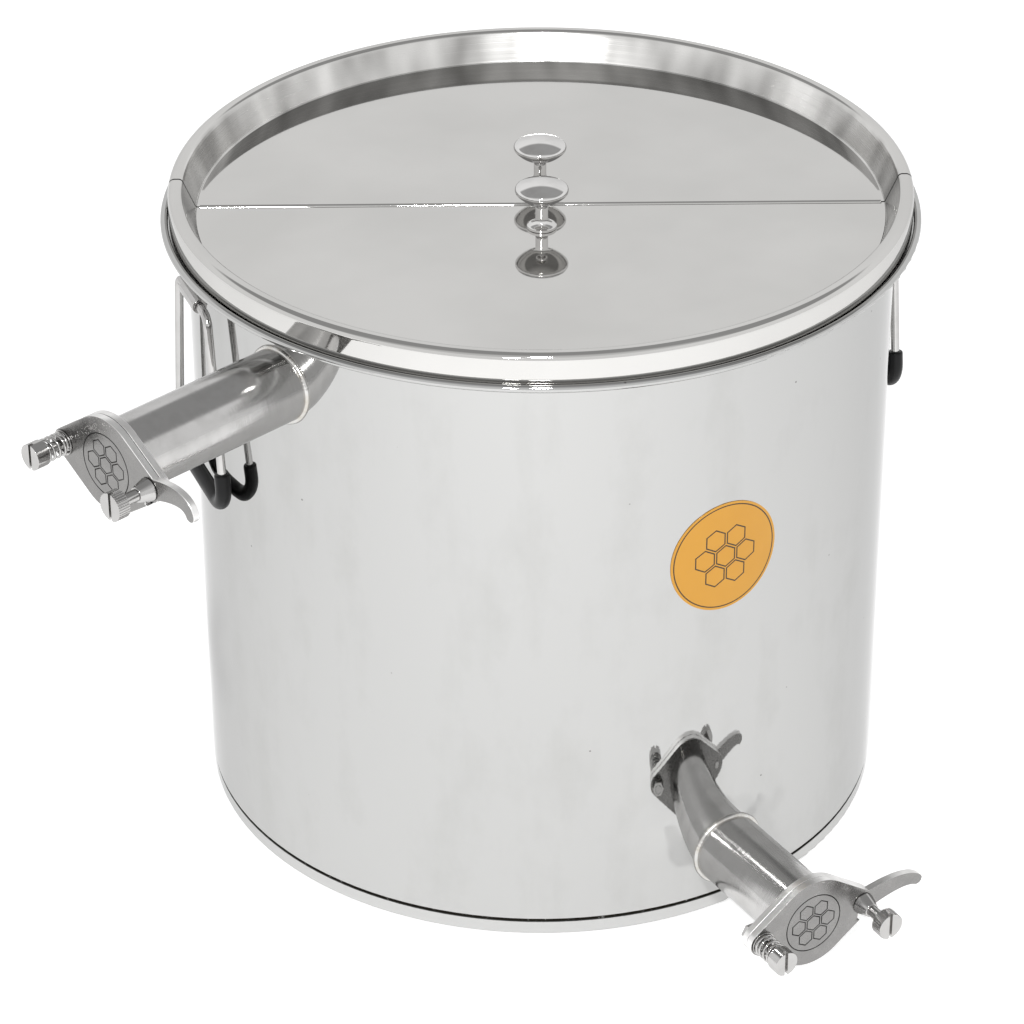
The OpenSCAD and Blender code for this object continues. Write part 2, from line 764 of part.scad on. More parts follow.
// Wire handle, hanging down, its ends turned in to enter the hinge tube
module handle_bail(az) {
    pin_len = shoulder + overrun - pin_end;
    color(bright_steel) on_wall(az, handle_z) translate([0, 0, handle_r]) {
        wire(bail_path, [for (p = bail_path) [0, 0, 1]], bail_wire_d, wire_sides);
        for (side = [0, 1]) mirror([side, 0, 0]) translate([pin_end, 0, 0])
            rotate([0, 90, 0]) cylinder(d = hinge_pin_d, h = pin_len);
    }
}

// Sleeve over the handle's bottom bar, its bends and the lower ends of its legs
module handle_grip(az) {
    refs = [for (p = grip_path) [0, 0, 1]];
    color(grip_black) on_wall(az, handle_z) translate([0, 0, handle_r])
        sleeve(grip_path, refs, grip_d, bail_wire_d + 2 * fit_gap, wire_sides);
}

module left_hinge() {
    handle_hinge(left_handle_az);
}

module left_bail() {
    handle_bail(left_handle_az);
}

module left_grip() {
    handle_grip(left_handle_az);
}

module right_hinge() {
    handle_hinge(right_handle_az);
}

module right_bail() {
    handle_bail(right_handle_az);
}

module right_grip() {
    handle_grip(right_handle_az);
}

// Puts a valve piece on its outlet, its Z zero at the gate's front face
module on_lower_gate() {
    on_wall(lower_az, lower_z) translate([0, 0, tank_r + lower_reach]) children();
}

module on_upper_gate() {
    on_wall(upper_az, upper_z) translate([0, 0, tank_r + upper_reach]) children();
}

// Outlet tube, its inner end shaped to the wall
module outlet_tube(az, height, reach) {
    color(steel) difference() {
        on_wall(az, height) difference() {
            cylinder(d = outlet_d, h = tank_r + reach + flange_back - fit_gap);
            cylinder(r = outlet_bore_r, h = tank_r + reach);
        }
        tank_body();
    }
}

// Weld bead round the outlet where it meets the wall
module weld_bead(az, height) {
    color(weld_steel) difference() {
        on_wall(az, height) rotate_extrude() intersection() {
            translate([outlet_d / 2, tank_r]) circle(r = weld_r);
            translate([outlet_d / 2 + fit_gap, tank_r - weld_r]) square(2 * weld_r);
        }
        tank_body();
    }
}

// Flange on the outlet's end, with the seal's groove and the two threaded ears
module valve_flange() {
    color(steel) difference() {
        translate([0, 0, flange_back]) linear_extrude(flange_t) plate_outline();
        translate([0, 0, flange_back - overrun])
            cylinder(r = outlet_bore_r, h = flange_t + 2 * overrun);
        translate([-ear_offset, 0, flange_back - overrun])
            cylinder(d = pivot_d + 2 * fit_gap, h = flange_t + 2 * overrun);
        translate([ear_offset, 0, flange_back - overrun])
            cylinder(d = clamp_d + 2 * run_gap, h = flange_t + 2 * overrun);
        translate([0, 0, flange_front - seal_groove_depth]) difference() {
            cylinder(r = seal_r + seal_d / 2 + fit_gap, h = seal_groove_depth + overrun);
            translate([0, 0, -overrun]) cylinder(
                r = seal_r - seal_d / 2 - fit_gap, h = seal_groove_depth + 3 * overrun
            );
        }
    }
}

module seal_ring() {
    color(seal_black) translate([0, 0, flange_front - seal_d / 2])
        rotate_extrude() translate([seal_r, 0]) circle(d = seal_d);
}

// Lever that tapers from the gate's ear to a round tip
module lever_outline(reach, rise) {
    translate([ear_offset, 0]) polygon(concat(
        [for (s = lever_shares) lever_edge(reach, rise, s, 1)],
        [for (s = tip_shares) lever_tip(reach, rise, s)],
        [for (i = [lever_steps : -1 : 0]) lever_edge(reach, rise, lever_shares[i], -1)]
    ));
}

// Path that the clamp screw's shank takes through the gate's ear as the gate lifts
module clamp_slot() {
    reach = ear_r + slot_r;
    translate([ear_offset, 0]) circle(r = slot_r);
    intersection() {
        translate([-ear_offset, 0]) difference() {
            circle(r = swing_r + slot_r);
            circle(r = swing_r - slot_r);
        }
        translate([ear_offset - 2 * slot_r, -reach]) square([4 * slot_r, reach]);
    }
}

// Ring and seven six-sided cells, engraved in the gate's front
module emblem() {
    line = emblem_line_w;
    difference() {
        circle(d = emblem_d);
        circle(d = emblem_d - 2 * line);
    }
    for (i = [0 : 6]) rotate(60 * i)
        translate([i < 6 ? emblem_cell_w + line : 0, 0]) rotate(30) difference() {
            circle(d = emblem_cell_w * hex_ratio, $fn = 6);
            circle(d = (emblem_cell_w - 2 * line) * hex_ratio, $fn = 6);
        }
}

// Gate plate that swings up about the pivot screw
module gate_plate(reach, rise) {
    color(bright_steel) difference() {
        translate([0, 0, -gate_t]) union() {
            linear_extrude(gate_t) plate_outline();
            linear_extrude(gate_t) lever_outline(reach, rise);
        }
        translate([0, 0, -gate_t - overrun])
            linear_extrude(gate_t + 2 * overrun) clamp_slot();
        translate([-ear_offset, 0, -gate_t - overrun])
            cylinder(d = pivot_d + 2 * run_gap, h = gate_t + 2 * overrun);
        translate([0, 0, -emblem_depth]) linear_extrude(emblem_depth + overrun) emblem();
    }
}

module pivot_screw() {
    color(bright_steel) translate([-ear_offset, 0, 0]) {
        translate([0, 0, pivot_end_z])
            cylinder(d = pivot_d, h = pivot_head_z - pivot_end_z);
        difference() {
            translate([0, 0, pivot_head_z]) cylinder(d = pivot_head_d, h = pivot_head_h);
            driver_slot(pivot_reach, pivot_head_d, slot_depth);
        }
    }
}

// Compression spring between the washer and the pivot screw's head
module pivot_spring() {
    refs = [for (p = spring_path) [p[0], p[1], 0]];
    color(dark_steel) translate([-ear_offset, 0, spring_z])
        wire(spring_path, refs, spring_wire_d, spring_sides);
}

module pivot_washer() {
    color(steel) translate([-ear_offset, 0, washer_z]) difference() {
        cylinder(d = pivot_washer_d, h = pivot_washer_t);
        translate([0, 0, -overrun])
            cylinder(d = pivot_d + 2 * fit_gap, h = pivot_washer_t + 2 * overrun);
    }
}

module pivot_locknut() {
    color(steel) translate([-ear_offset, 0, flange_back - fit_gap - locknut_h]) difference() {
        cylinder(d = locknut_w * hex_ratio, h = locknut_h, $fn = 6);
        translate([0, 0, -overrun])
            cylinder(d = pivot_d + 2 * fit_gap, h = locknut_h + 2 * overrun);
    }
}

// Loose cone that the clamp screw presses on the gate's ear
module clamp_collar() {
    color(steel) translate([ear_offset, 0, collar_z]) difference() {
        cylinder(d1 = collar_d, d2 = collar_front_d, h = collar_len);
        translate([0, 0, -overrun])
            cylinder(d = clamp_d + 2 * fit_gap, h = collar_len + 2 * overrun);
    }
}

// Thumb screw with a grooved, slotted head
module clamp_screw() {
    color(bright_steel) translate([ear_offset, 0, 0]) {
        translate([0, 0, clamp_end_z]) cylinder(d = clamp_d, h = neck_z - clamp_end_z);
        translate([0, 0, neck_z]) cylinder(d = clamp_neck_d, h = clamp_head_z - neck_z);
        difference() {
            translate([0, 0, clamp_head_z]) linear_extrude(clamp_head_h) difference() {
                circle(d = clamp_head_d);
                for (i = [0 : knurl_count - 1]) rotate(360 * i / knurl_count)
                    translate([clamp_head_d / 2, 0]) circle(r = knurl_r, $fn = 16);
            }
            driver_slot(clamp_reach, clamp_head_d, slot_depth);
        }
    }
}

module lower_outlet_tube() {
    outlet_tube(lower_az, lower_z, lower_reach);
}

module lower_weld_bead() {
    weld_bead(lower_az, lower_z);
}

module lower_flange() {
    on_lower_gate() valve_flange();
}

module lower_seal_ring() {
    on_lower_gate() seal_ring();
}

module lower_gate() {
    on_lower_gate() gate_plate(lower_lever_reach, lower_lever_rise);
}

module lower_pivot_screw() {
    on_lower_gate() pivot_screw();
}

module lower_pivot_spring() {
    on_lower_gate() pivot_spring();
}

module lower_pivot_washer() {
    on_lower_gate() pivot_washer();
}

module lower_pivot_locknut() {
    on_lower_gate() pivot_locknut();
}

module lower_clamp_collar() {
    on_lower_gate() clamp_collar();
}

module lower_clamp_screw() {
    on_lower_gate() clamp_screw();
}

module upper_outlet_tube() {
    outlet_tube(upper_az, upper_z, upper_reach);
}

module upper_weld_bead() {
    weld_bead(upper_az, upper_z);
}

module upper_flange() {
    on_upper_gate() valve_flange();
}

module upper_seal_ring() {
    on_upper_gate() seal_ring();
}

module upper_gate() {
    on_upper_gate() gate_plate(upper_lever_reach, upper_lever_rise);
}

module upper_pivot_screw() {
    on_upper_gate() pivot_screw();
}

module upper_pivot_spring() {
    on_upper_gate() pivot_spring();
}

module upper_pivot_washer() {
    on_upper_gate() pivot_washer();
}

module upper_pivot_locknut() {
    on_upper_gate() pivot_locknut();
}

module upper_clamp_collar() {
    on_upper_gate() clamp_collar();
}

module upper_clamp_screw() {
    on_upper_gate() clamp_screw();
}

tank_wall();
tank_floor();
rim_wire();
label();
lid_front();
lid_front_knob();
lid_front_screw();
lid_front_washer();
lid_rear();
lid_rear_knob();
lid_rear_screw();
lid_rear_washer();
left_hinge();
left_bail();
left_grip();
right_hinge();
right_bail();
right_grip();
lower_outlet_tube();
lower_weld_bead();
lower_flange();
lower_seal_ring();
lower_gate();
lower_pivot_screw();
lower_pivot_spring();
lower_pivot_washer();
lower_pivot_locknut();
lower_clamp_collar();
lower_clamp_screw();
upper_outlet_tube();
upper_weld_bead();
upper_flange();
upper_seal_ring();
upper_gate();
upper_pivot_screw();
upper_pivot_spring();
upper_pivot_washer();
upper_pivot_locknut();
upper_clamp_collar();
upper_clamp_screw();
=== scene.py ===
# %% [markdown]
# # A honey settling tank
# The CAD model already holds every piece of this tank in its right place. This lesson gives it the
# finishes of the real one: bright rolled sheet, turned and cast steel, welds, wire and rubber.
# Pieces whose CAD form is coarse, such as bent wire and springs, are made again in finer mesh.

import json
import math

import bmesh
import bpy
from mathutils import Matrix, Vector


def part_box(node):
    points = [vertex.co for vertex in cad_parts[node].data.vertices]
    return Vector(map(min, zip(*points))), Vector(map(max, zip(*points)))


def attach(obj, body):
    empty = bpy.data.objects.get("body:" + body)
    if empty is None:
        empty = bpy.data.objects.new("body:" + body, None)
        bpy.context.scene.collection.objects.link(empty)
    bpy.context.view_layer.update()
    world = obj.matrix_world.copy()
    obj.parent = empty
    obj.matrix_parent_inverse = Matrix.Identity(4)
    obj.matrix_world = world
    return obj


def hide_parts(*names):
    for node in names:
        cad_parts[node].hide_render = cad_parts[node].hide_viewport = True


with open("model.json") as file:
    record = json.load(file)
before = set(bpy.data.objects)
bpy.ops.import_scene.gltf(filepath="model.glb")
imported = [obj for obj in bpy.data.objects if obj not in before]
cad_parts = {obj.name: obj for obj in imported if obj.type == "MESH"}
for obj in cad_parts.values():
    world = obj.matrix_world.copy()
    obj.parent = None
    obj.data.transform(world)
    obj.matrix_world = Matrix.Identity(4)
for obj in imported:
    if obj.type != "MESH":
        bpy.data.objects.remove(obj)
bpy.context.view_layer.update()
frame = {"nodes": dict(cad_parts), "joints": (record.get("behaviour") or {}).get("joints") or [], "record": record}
joints = {joint["name"]: joint for joint in frame["joints"]}
MM = 0.001
UP = Vector((0, 0, 1))

# %% [markdown]
# ## Camera
# The tank was photographed from about 31 degrees above, from a few metres away. A long lens keeps
# the rings of the tank nearly parallel, so the distance matters as much as the angle.

# %% Camera
CAMERA_PLACE = (-1.2172, -1.9329, 1.5723)
CAMERA_TILT = math.radians(58.863)
CAMERA_TURN = math.radians(-32.2)
LENS_MM = 132.07
SIDE_SHIFT = -0.0282
scene = bpy.context.scene
camera = bpy.data.objects.new("camera", bpy.data.cameras.new("camera"))
scene.collection.objects.link(camera)
camera.location = CAMERA_PLACE
camera.rotation_euler = (CAMERA_TILT, 0, CAMERA_TURN)
camera.data.lens = LENS_MM
camera.data.shift_x = SIDE_SHIFT
scene.camera = camera
scene.view_settings.view_transform = "Standard"
print("camera", CAMERA_PLACE)

# %% [markdown]
# ## Colours and nodes
# Colours are written as sRGB hex values, the way a colour picker shows them, but shaders count in
# linear light. One function turns them over, and one more adds every shader node of this lesson.


# %% Colours and nodes
def srgb(colour):
    """Linear colour of an sRGB hex value."""
    parts = [int(colour[i : i + 2], 16) / 255 for i in (1, 3, 5)]
    return tuple(c / 12.92 if c <= 0.04045 else ((c + 0.055) / 1.055) ** 2.4 for c in parts) + (1.0,)


def add(tree, kind, sockets=None, **settings):
    """Adds one node. Each socket, by name or number, gets a value or another node's output."""
    node = tree.nodes.new(kind)
    for name, value in settings.items():
        setattr(node, name, value)
    for key, value in (sockets or {}).items():
        if isinstance(value, bpy.types.NodeSocket):
            tree.links.new(value, node.inputs[key])
        else:
            node.inputs[key].default_value = value
    return node


print("white", srgb("#FFFFFF"))

# %% [markdown]
# ## Studio
# Polished steel has hardly any colour of its own: it shows the room. The wall mirrors the floor in
# front of it, the lid mirrors the pale wall behind it, and every upturned curve mirrors the ceiling.
# The room has pale walls and a grey ceiling, lighter on the camera's side, which gives the metal its
# darker lines. Two small round lamps give the highlights.

# %% Sky
CAMERA_SIDE = (-0.533, -0.846, 0)
ROOM_LIGHT = 1.02
REAR_CEILING = 0.4
FRONT_CEILING = 0.78
world = bpy.data.worlds.new("studio")
scene.world = world
world.use_nodes = True
sky = world.node_tree
way = add(sky, "ShaderNodeTexCoord").outputs["Generated"]
rise = add(sky, "ShaderNodeSeparateXYZ", {0: way}).outputs["Z"]
front = add(sky, "ShaderNodeVectorMath", {0: way, 1: CAMERA_SIDE}, operation="DOT_PRODUCT")
lit = {0: front.outputs["Value"], 1: 0.15, 2: 0.5, 3: REAR_CEILING, 4: FRONT_CEILING}
ceiling = add(sky, "ShaderNodeMapRange", lit)
bands = {0: rise, 1: 0.58, 2: 0.66, 3: ROOM_LIGHT, 4: ceiling.outputs[0]}
level = add(sky, "ShaderNodeMapRange", bands, interpolation_type="SMOOTHSTEP")
sky.links.new(level.outputs[0], sky.nodes["Background"].inputs["Color"])
print("sky nodes", len(sky.nodes))

# %% Lamps
LAMP_AIM = Vector((0, 0, 0.2))
LAMPS = {
    "high_lamp": {"place": (-0.92, -1.45, 1.95), "size": 0.22, "watts": 18},
    "low_lamp": {"place": (-1.5, -1.75, 1.6), "size": 0.2, "watts": 11},
}
for name, facts in LAMPS.items():
    lamp = bpy.data.objects.new(name, bpy.data.lights.new(name, "AREA"))
    scene.collection.objects.link(lamp)
    lamp.location = facts["place"]
    lamp.rotation_euler = (LAMP_AIM - lamp.location).to_track_quat("-Z", "Y").to_euler()
    lamp.data.shape = "DISK"
    lamp.data.size = facts["size"]
    lamp.data.energy = facts["watts"]
print("lamps", list(LAMPS))

# %% [markdown]
# ## Floor
# The tank stands on a wide table of pale acrylic with a faint glow of its own, as in a catalogue.
# A flat grid is enough for it, and the glow keeps it as white as the room.

# %% Acrylic
# Lit acrylic gives the eye an even white, on which only the tank's soft shadow shows.
CLOUD_MM = 400
acrylic = bpy.data.materials.new("pale_lit_acrylic")
acrylic.use_nodes = True
tree = acrylic.node_tree
cloud = add(tree, "ShaderNodeTexNoise", {"Scale": 1000 / CLOUD_MM, "Detail": 2.0})
pale = {0: cloud.outputs[0], 6: srgb("#F1F1F1"), 7: srgb("#F4F4F4")}
tone = add(tree, "ShaderNodeMix", pale, data_type="RGBA")
shader = tree.nodes["Principled BSDF"]
tree.links.new(tone.outputs[2], shader.inputs["Base Color"])
shader.inputs["Roughness"].default_value = 0.9
shader.inputs["Emission Color"].default_value = srgb("#FFFFFF")
shader.inputs["Emission Strength"].default_value = 0.5
print(acrylic.name, len(tree.nodes), "nodes")

# %% Floor
FLOOR_HALF = 6
FLOOR_GAP_MM = 0.5
grid = bmesh.new()
bmesh.ops.create_grid(grid, x_segments=8, y_segments=8, size=FLOOR_HALF)
floor_mesh = bpy.data.meshes.new("floor")
grid.to_mesh(floor_mesh)
grid.free()
floor = bpy.data.objects.new("floor", floor_mesh)
floor.location.z = -FLOOR_GAP_MM * MM
floor_mesh.materials.append(acrylic)
scene.collection.objects.link(floor)
print("floor", 2 * FLOOR_HALF, "m wide")

# %% [markdown]
# ## Steel
# Nearly all of the tank is stainless steel, and its finishes differ only in how they were made:
# rolled between polished rollers, polished on a wheel, cast and tumbled, turned, drawn into wire.
# Each is one metal shader whose roughness and fine relief follow that making. A pattern's grain is
# given in millimetres along each axis. A mapping of the texture kind divides places by that size, so
# a noise of scale 1 has one grain in each such length.


# %% Metal
def metal(name, colour):
    """A new metal with its node tree, its object coordinates and its shader."""
    material = bpy.data.materials.new(name)
    material.use_nodes = True
    tree = material.node_tree
    shader = tree.nodes["Principled BSDF"]
    shader.inputs["Metallic"].default_value = 1.0
    shader.inputs["Base Color"].default_value = srgb(colour)
    shader.inputs["Specular Tint"].default_value = srgb("#E0E0E0")
    return material, tree, add(tree, "ShaderNodeTexCoord").outputs["Object"], shader


def metres(*sizes_mm):
    """A grain's size along each axis, from millimetres to metres."""
    return [size * MM for size in sizes_mm]


def from_axis(tree, place):
    """The place on the ground plan, and its distance from the tank's axis."""
    plan = add(tree, "ShaderNodeVectorMath", {0: place, 1: (1, 1, 0)}, operation="MULTIPLY").outputs[0]
    return plan, add(tree, "ShaderNodeVectorMath", {0: plan}, operation="LENGTH").outputs["Value"]


def link(tree, shader, colour, rough, relief=None):
    """Leads a finish's colour, roughness and relief to its shader."""
    tree.links.new(colour, shader.inputs["Base Color"])
    tree.links.new(rough, shader.inputs["Roughness"])
    if relief:
        tree.links.new(relief, shader.inputs["Normal"])


print("a cube of 5 mm is", metres(5, 5, 5), "m")

# %% [markdown]
# ## Wall sheet
# The wall's outside keeps the mirror of the rollers, with faint clouds where it was wiped and a few
# dark specks. The inside is left satin, as it came from the mill. The distance from the axis tells
# the two sides of the sheet apart, so one material serves both.

# %% Wall patterns
# Bright rolled stainless gives the eye a clear mirror under a soft, slightly cloudy grey.
wall_sheet, tree, place, shader = metal("bright_rolled_stainless_wall", "#BEBEBD")
wiped = add(tree, "ShaderNodeMapping", {0: place, "Scale": metres(38, 38, 55)}, vector_type="TEXTURE")
soft = {0: wiped.outputs[0], "Scale": 1.0, "Detail": 5.0, "Roughness": 0.62}
cloud = add(tree, "ShaderNodeTexNoise", soft)
tall = add(tree, "ShaderNodeMapping", {0: place, "Scale": metres(34, 34, 200)}, vector_type="TEXTURE")
run = add(tree, "ShaderNodeTexNoise", {0: tall.outputs[0], "Scale": 1.0, "Detail": 4.0})
smear = add(tree, "ShaderNodeMath", {0: cloud.outputs[0], 1: run.outputs[0]}, operation="MULTIPLY")
sparse = add(tree, "ShaderNodeMapping", {0: place, "Scale": metres(26, 26, 26)}, vector_type="TEXTURE")
speck = add(tree, "ShaderNodeTexVoronoi", {0: sparse.outputs[0], "Scale": 1.0})
# Rolling grain is about 0.1 mm fine; it is drawn 1.2 mm wide so that the render shows it.
rolled = add(tree, "ShaderNodeMapping", {0: place, "Scale": metres(90, 90, 1.2)}, vector_type="TEXTURE")
grain = add(tree, "ShaderNodeTexNoise", {0: rolled.outputs[0], "Scale": 1.0, "Detail": 3.0})
print("wall patterns", len(tree.nodes), "nodes")

# %% Wall colour, gloss and relief
SATIN = 0.45
INNER_FACE_MM = 239.1
OUTER_FACE_MM = 239.5
film = add(tree, "ShaderNodeMapRange", {0: smear.outputs[0], 1: 0.24, 2: 0.46, 3: 0.0, 4: 0.5})
greys = {0: film.outputs[0], 6: srgb("#B9B9B8"), 7: srgb("#ADADAB")}
tone = add(tree, "ShaderNodeMix", greys, data_type="RGBA")
spot = add(tree, "ShaderNodeMapRange", {0: speck.outputs["Distance"], 1: 0.016, 2: 0.034, 3: 0.8, 4: 0.0})
marks = {0: spot.outputs[0], 6: tone.outputs[2], 7: srgb("#5E5A56")}
mark = add(tree, "ShaderNodeMix", marks, data_type="RGBA")
haze = add(tree, "ShaderNodeMapRange", {0: smear.outputs[0], 1: 0.18, 2: 0.42, 3: 0.012, 4: 0.04})
radius = from_axis(tree, place)[1]
sides = {0: radius, 1: INNER_FACE_MM * MM, 2: OUTER_FACE_MM * MM, 3: 1.0, 4: 0.0}
inside = add(tree, "ShaderNodeMapRange", sides)
rough = add(tree, "ShaderNodeMix", {0: inside.outputs[0], 2: haze.outputs[0], 3: SATIN})
relief = add(tree, "ShaderNodeBump", {"Height": grain.outputs[0], "Strength": 0.015, "Distance": 0.3 * MM})
link(tree, shader, mark.outputs[2], rough.outputs[0], relief.outputs[0])
print(wall_sheet.name, len(tree.nodes), "nodes")

# %% [markdown]
# ## Floor pan
# The tank's floor is a pan whose edge slides into the wall. Between its lower band and the wall runs
# an open seam, 3 mm high, whose shade is painted onto the pan as a dark, matt line. Height above the
# ground finds it, so the seam needs no piece of its own. The inside is satin, as the wall's is.

# %% Floor pan
SEAM_FOOT_MM = 10.6
SEAM_DARK_MM = 11.2
PAN_INSIDE_MM = 236
PAN_BAND_MM = 237
# Rolled stainless gives the eye a plain mirror here, with one dark, matt line of painted shade at the seam.
pan_sheet, tree, place, shader = metal("rolled_stainless_pan", "#BEBEBD")
height = add(tree, "ShaderNodeSeparateXYZ", {0: place}).outputs["Z"]
# Above the seam's foot the pan is painted almost black in fine crumbs, as painted shade of the seam.
above = add(tree, "ShaderNodeMapRange", {0: height, 1: SEAM_FOOT_MM * MM, 2: SEAM_DARK_MM * MM})
fine = add(tree, "ShaderNodeMapping", {0: place, "Scale": metres(2.5, 2.5, 2.5)}, vector_type="TEXTURE")
crumb = add(tree, "ShaderNodeTexNoise", {0: fine.outputs[0], "Scale": 1.0, "Detail": 4.0})
seam_shade_crumbs = add(tree, "ShaderNodeMapRange", {0: crumb.outputs[0], 1: 0.62, 2: 0.7, 3: 1.0, 4: 0.5})
seam_shade = add(tree, "ShaderNodeMath", {0: above.outputs[0], 1: seam_shade_crumbs.outputs[0]}, operation="MULTIPLY")
seam_shade_tones = {0: seam_shade.outputs[0], 6: srgb("#BEBEBD"), 7: srgb("#26241F")}
tone = add(tree, "ShaderNodeMix", seam_shade_tones, data_type="RGBA")
band = add(tree, "ShaderNodeMapRange", {0: seam_shade.outputs[0], 3: 0.1, 4: 0.6})
radius = from_axis(tree, place)[1]
sides = {0: radius, 1: PAN_INSIDE_MM * MM, 2: PAN_BAND_MM * MM, 3: 1.0, 4: 0.0}
inside = add(tree, "ShaderNodeMapRange", sides)
rough = add(tree, "ShaderNodeMix", {0: inside.outputs[0], 2: band.outputs[0], 3: SATIN})
link(tree, shader, tone.outputs[2], rough.outputs[0])
print(pan_sheet.name, len(tree.nodes), "nodes")

# %% [markdown]
# ## Lid sheet
# The lid is spun from one disc and cut in two. Its flat floor and its outside keep the rollers'
# mirror, but the sloping inner wall was worked by the spinning tool, which leaves fine rings and a
# slight waviness. The distance from the tank's axis tells that wall from the rest. Its grey there
# swings from dark to pale with the waves, as painted highlight sweeps.

# %% Where the lid was worked
WALL_FOOT_MM = 233
WALL_HEAD_MM = 242.5
FOOT_FADE_MM = 0.6
HEAD_FADE_MM = 2
# Spun stainless gives the eye a mirror on its flats and a brushed, wavy grey on the worked wall, with painted
# highlight sweeps in that grey.
lid_sheet, tree, place, shader = metal("spun_stainless_lid", "#CAC9C7")
plan, radius = from_axis(tree, place)
height = add(tree, "ShaderNodeSeparateXYZ", {0: place}).outputs["Z"]
begins = {0: radius, 1: (WALL_FOOT_MM - FOOT_FADE_MM) * MM, 2: WALL_FOOT_MM * MM}
ends = {0: radius, 1: (WALL_HEAD_MM - HEAD_FADE_MM) * MM, 2: WALL_HEAD_MM * MM, 3: 1.0, 4: 0.0}
sloped = [add(tree, "ShaderNodeMapRange", sockets).outputs[0] for sockets in (begins, ends)]
worked = add(tree, "ShaderNodeMath", {0: sloped[0], 1: sloped[1]}, operation="MULTIPLY").outputs[0]
section = add(tree, "ShaderNodeCombineXYZ", {0: radius, 1: height}).outputs[0]
print("lid zones", len(tree.nodes), "nodes")

# %% Lid patterns
# Tool marks are about 0.2 mm apart; they are drawn 0.9 mm apart so that the render shows them.
tooled = add(tree, "ShaderNodeMapping", {0: section, "Scale": metres(0.9, 0.9, 0.9)}, vector_type="TEXTURE")
rings = add(tree, "ShaderNodeTexNoise", {0: tooled.outputs[0], "Scale": 1.0, "Detail": 4.0})
wavy = add(tree, "ShaderNodeMapping", {0: plan, "Scale": metres(46, 46, 46)}, vector_type="TEXTURE")
waves = add(tree, "ShaderNodeTexNoise", {0: wavy.outputs[0], "Scale": 1.0, "Detail": 2.0})
broad = add(tree, "ShaderNodeMapping", {0: place, "Scale": metres(110, 110, 110)}, vector_type="TEXTURE")
cloud = add(tree, "ShaderNodeTexNoise", {0: broad.outputs[0], "Scale": 1.0, "Detail": 3.0})
print("lid patterns", len(tree.nodes), "nodes")

# %% Lid colour, gloss and relief
mirror = add(tree, "ShaderNodeMapRange", {0: cloud.outputs[0], 1: 0.3, 2: 0.7, 3: 0.02, 4: 0.06})
spun = add(tree, "ShaderNodeMapRange", {0: rings.outputs[0], 1: 0.3, 2: 0.7, 3: 0.16, 4: 0.3})
rough = add(tree, "ShaderNodeMix", {0: worked, 2: mirror.outputs[0], 3: spun.outputs[0]})
bright = add(tree, "ShaderNodeMapRange", {0: cloud.outputs[0], 1: 0.35, 2: 0.65})
greys = {0: bright.outputs[0], 6: srgb("#C7C6C4"), 7: srgb("#CECDCB")}
sheet_tone = add(tree, "ShaderNodeMix", greys, data_type="RGBA")
# The worked wall's grey runs from dark to pale with the waves: painted highlight sweeps.
sweep_highlight_mask = add(tree, "ShaderNodeMapRange", {0: waves.outputs[0], 1: 0.35, 2: 0.65})
greys = {0: sweep_highlight_mask.outputs[0], 6: srgb("#9C9B99"), 7: srgb("#E6E5E3")}
painted_sweep_tone = add(tree, "ShaderNodeMix", greys, data_type="RGBA")
greys = {0: worked, 6: sheet_tone.outputs[2], 7: painted_sweep_tone.outputs[2]}
tone = add(tree, "ShaderNodeMix", greys, data_type="RGBA")
depth = add(tree, "ShaderNodeMath", {0: rings.outputs[0], 1: worked}, operation="MULTIPLY")
wave = add(tree, "ShaderNodeMath", {0: waves.outputs[0], 1: worked}, operation="MULTIPLY")
bend = add(tree, "ShaderNodeBump", {"Height": wave.outputs[0], "Strength": 0.6, "Distance": 1.2 * MM})
groove = {"Height": depth.outputs[0], "Strength": 0.12, "Distance": 0.2 * MM, "Normal": bend.outputs[0]}
relief = add(tree, "ShaderNodeBump", groove)
link(tree, shader, tone.outputs[2], rough.outputs[0], relief.outputs[0])
print(lid_sheet.name, len(tree.nodes), "nodes")

# %% [markdown]
# ## Polished, turned and cast steel
# The small pieces show how each was finished. A polishing wheel leaves a mirror, a lathe fine rings,
# a tumbler an even satin, and a drawing die lines along the wire. All are the same metal with a grain
# of another size, so one function makes them. The outlet tubes were polished while they turned:
# their grain runs round them, and it is drawn 0.8 mm wide, coarser than real, to show.


# %% Worked steel
PATCH_MM = 12


def worked_steel(name, colour, rough, grain_mm, relief_mm, strength, turn=0.0):
    """Steel finished by hand or machine: a grain of a given size and a roughness that follows it."""
    material, tree, place, shader = metal(name, colour)
    lines = {0: place, "Rotation": (0, 0, turn), "Scale": metres(*grain_mm)}
    grained = add(tree, "ShaderNodeMapping", lines, vector_type="TEXTURE")
    grain = add(tree, "ShaderNodeTexNoise", {0: grained.outputs[0], "Scale": 1.0, "Detail": 3.0})
    patch = add(tree, "ShaderNodeTexNoise", {0: place, "Scale": 1000 / PATCH_MM, "Detail": 3.0})
    both = add(tree, "ShaderNodeMath", {0: grain.outputs[0], 1: patch.outputs[0]}, operation="MULTIPLY")
    gloss = {0: both.outputs[0], 1: 0.12, 2: 0.42, 3: rough[0], 4: rough[1]}
    spread = add(tree, "ShaderNodeMapRange", gloss)
    dull = add(tree, "ShaderNodeMapRange", {0: patch.outputs[0], 1: 0.4, 2: 0.75, 3: 0.0, 4: 0.35})
    greys = {0: dull.outputs[0], 6: srgb(colour), 7: srgb("#A2A19F")}
    tone = add(tree, "ShaderNodeMix", greys, data_type="RGBA")
    height = {"Height": grain.outputs[0], "Strength": strength, "Distance": relief_mm * MM}
    relief = add(tree, "ShaderNodeBump", height)
    link(tree, shader, tone.outputs[2], spread.outputs[0], relief.outputs[0])
    return material


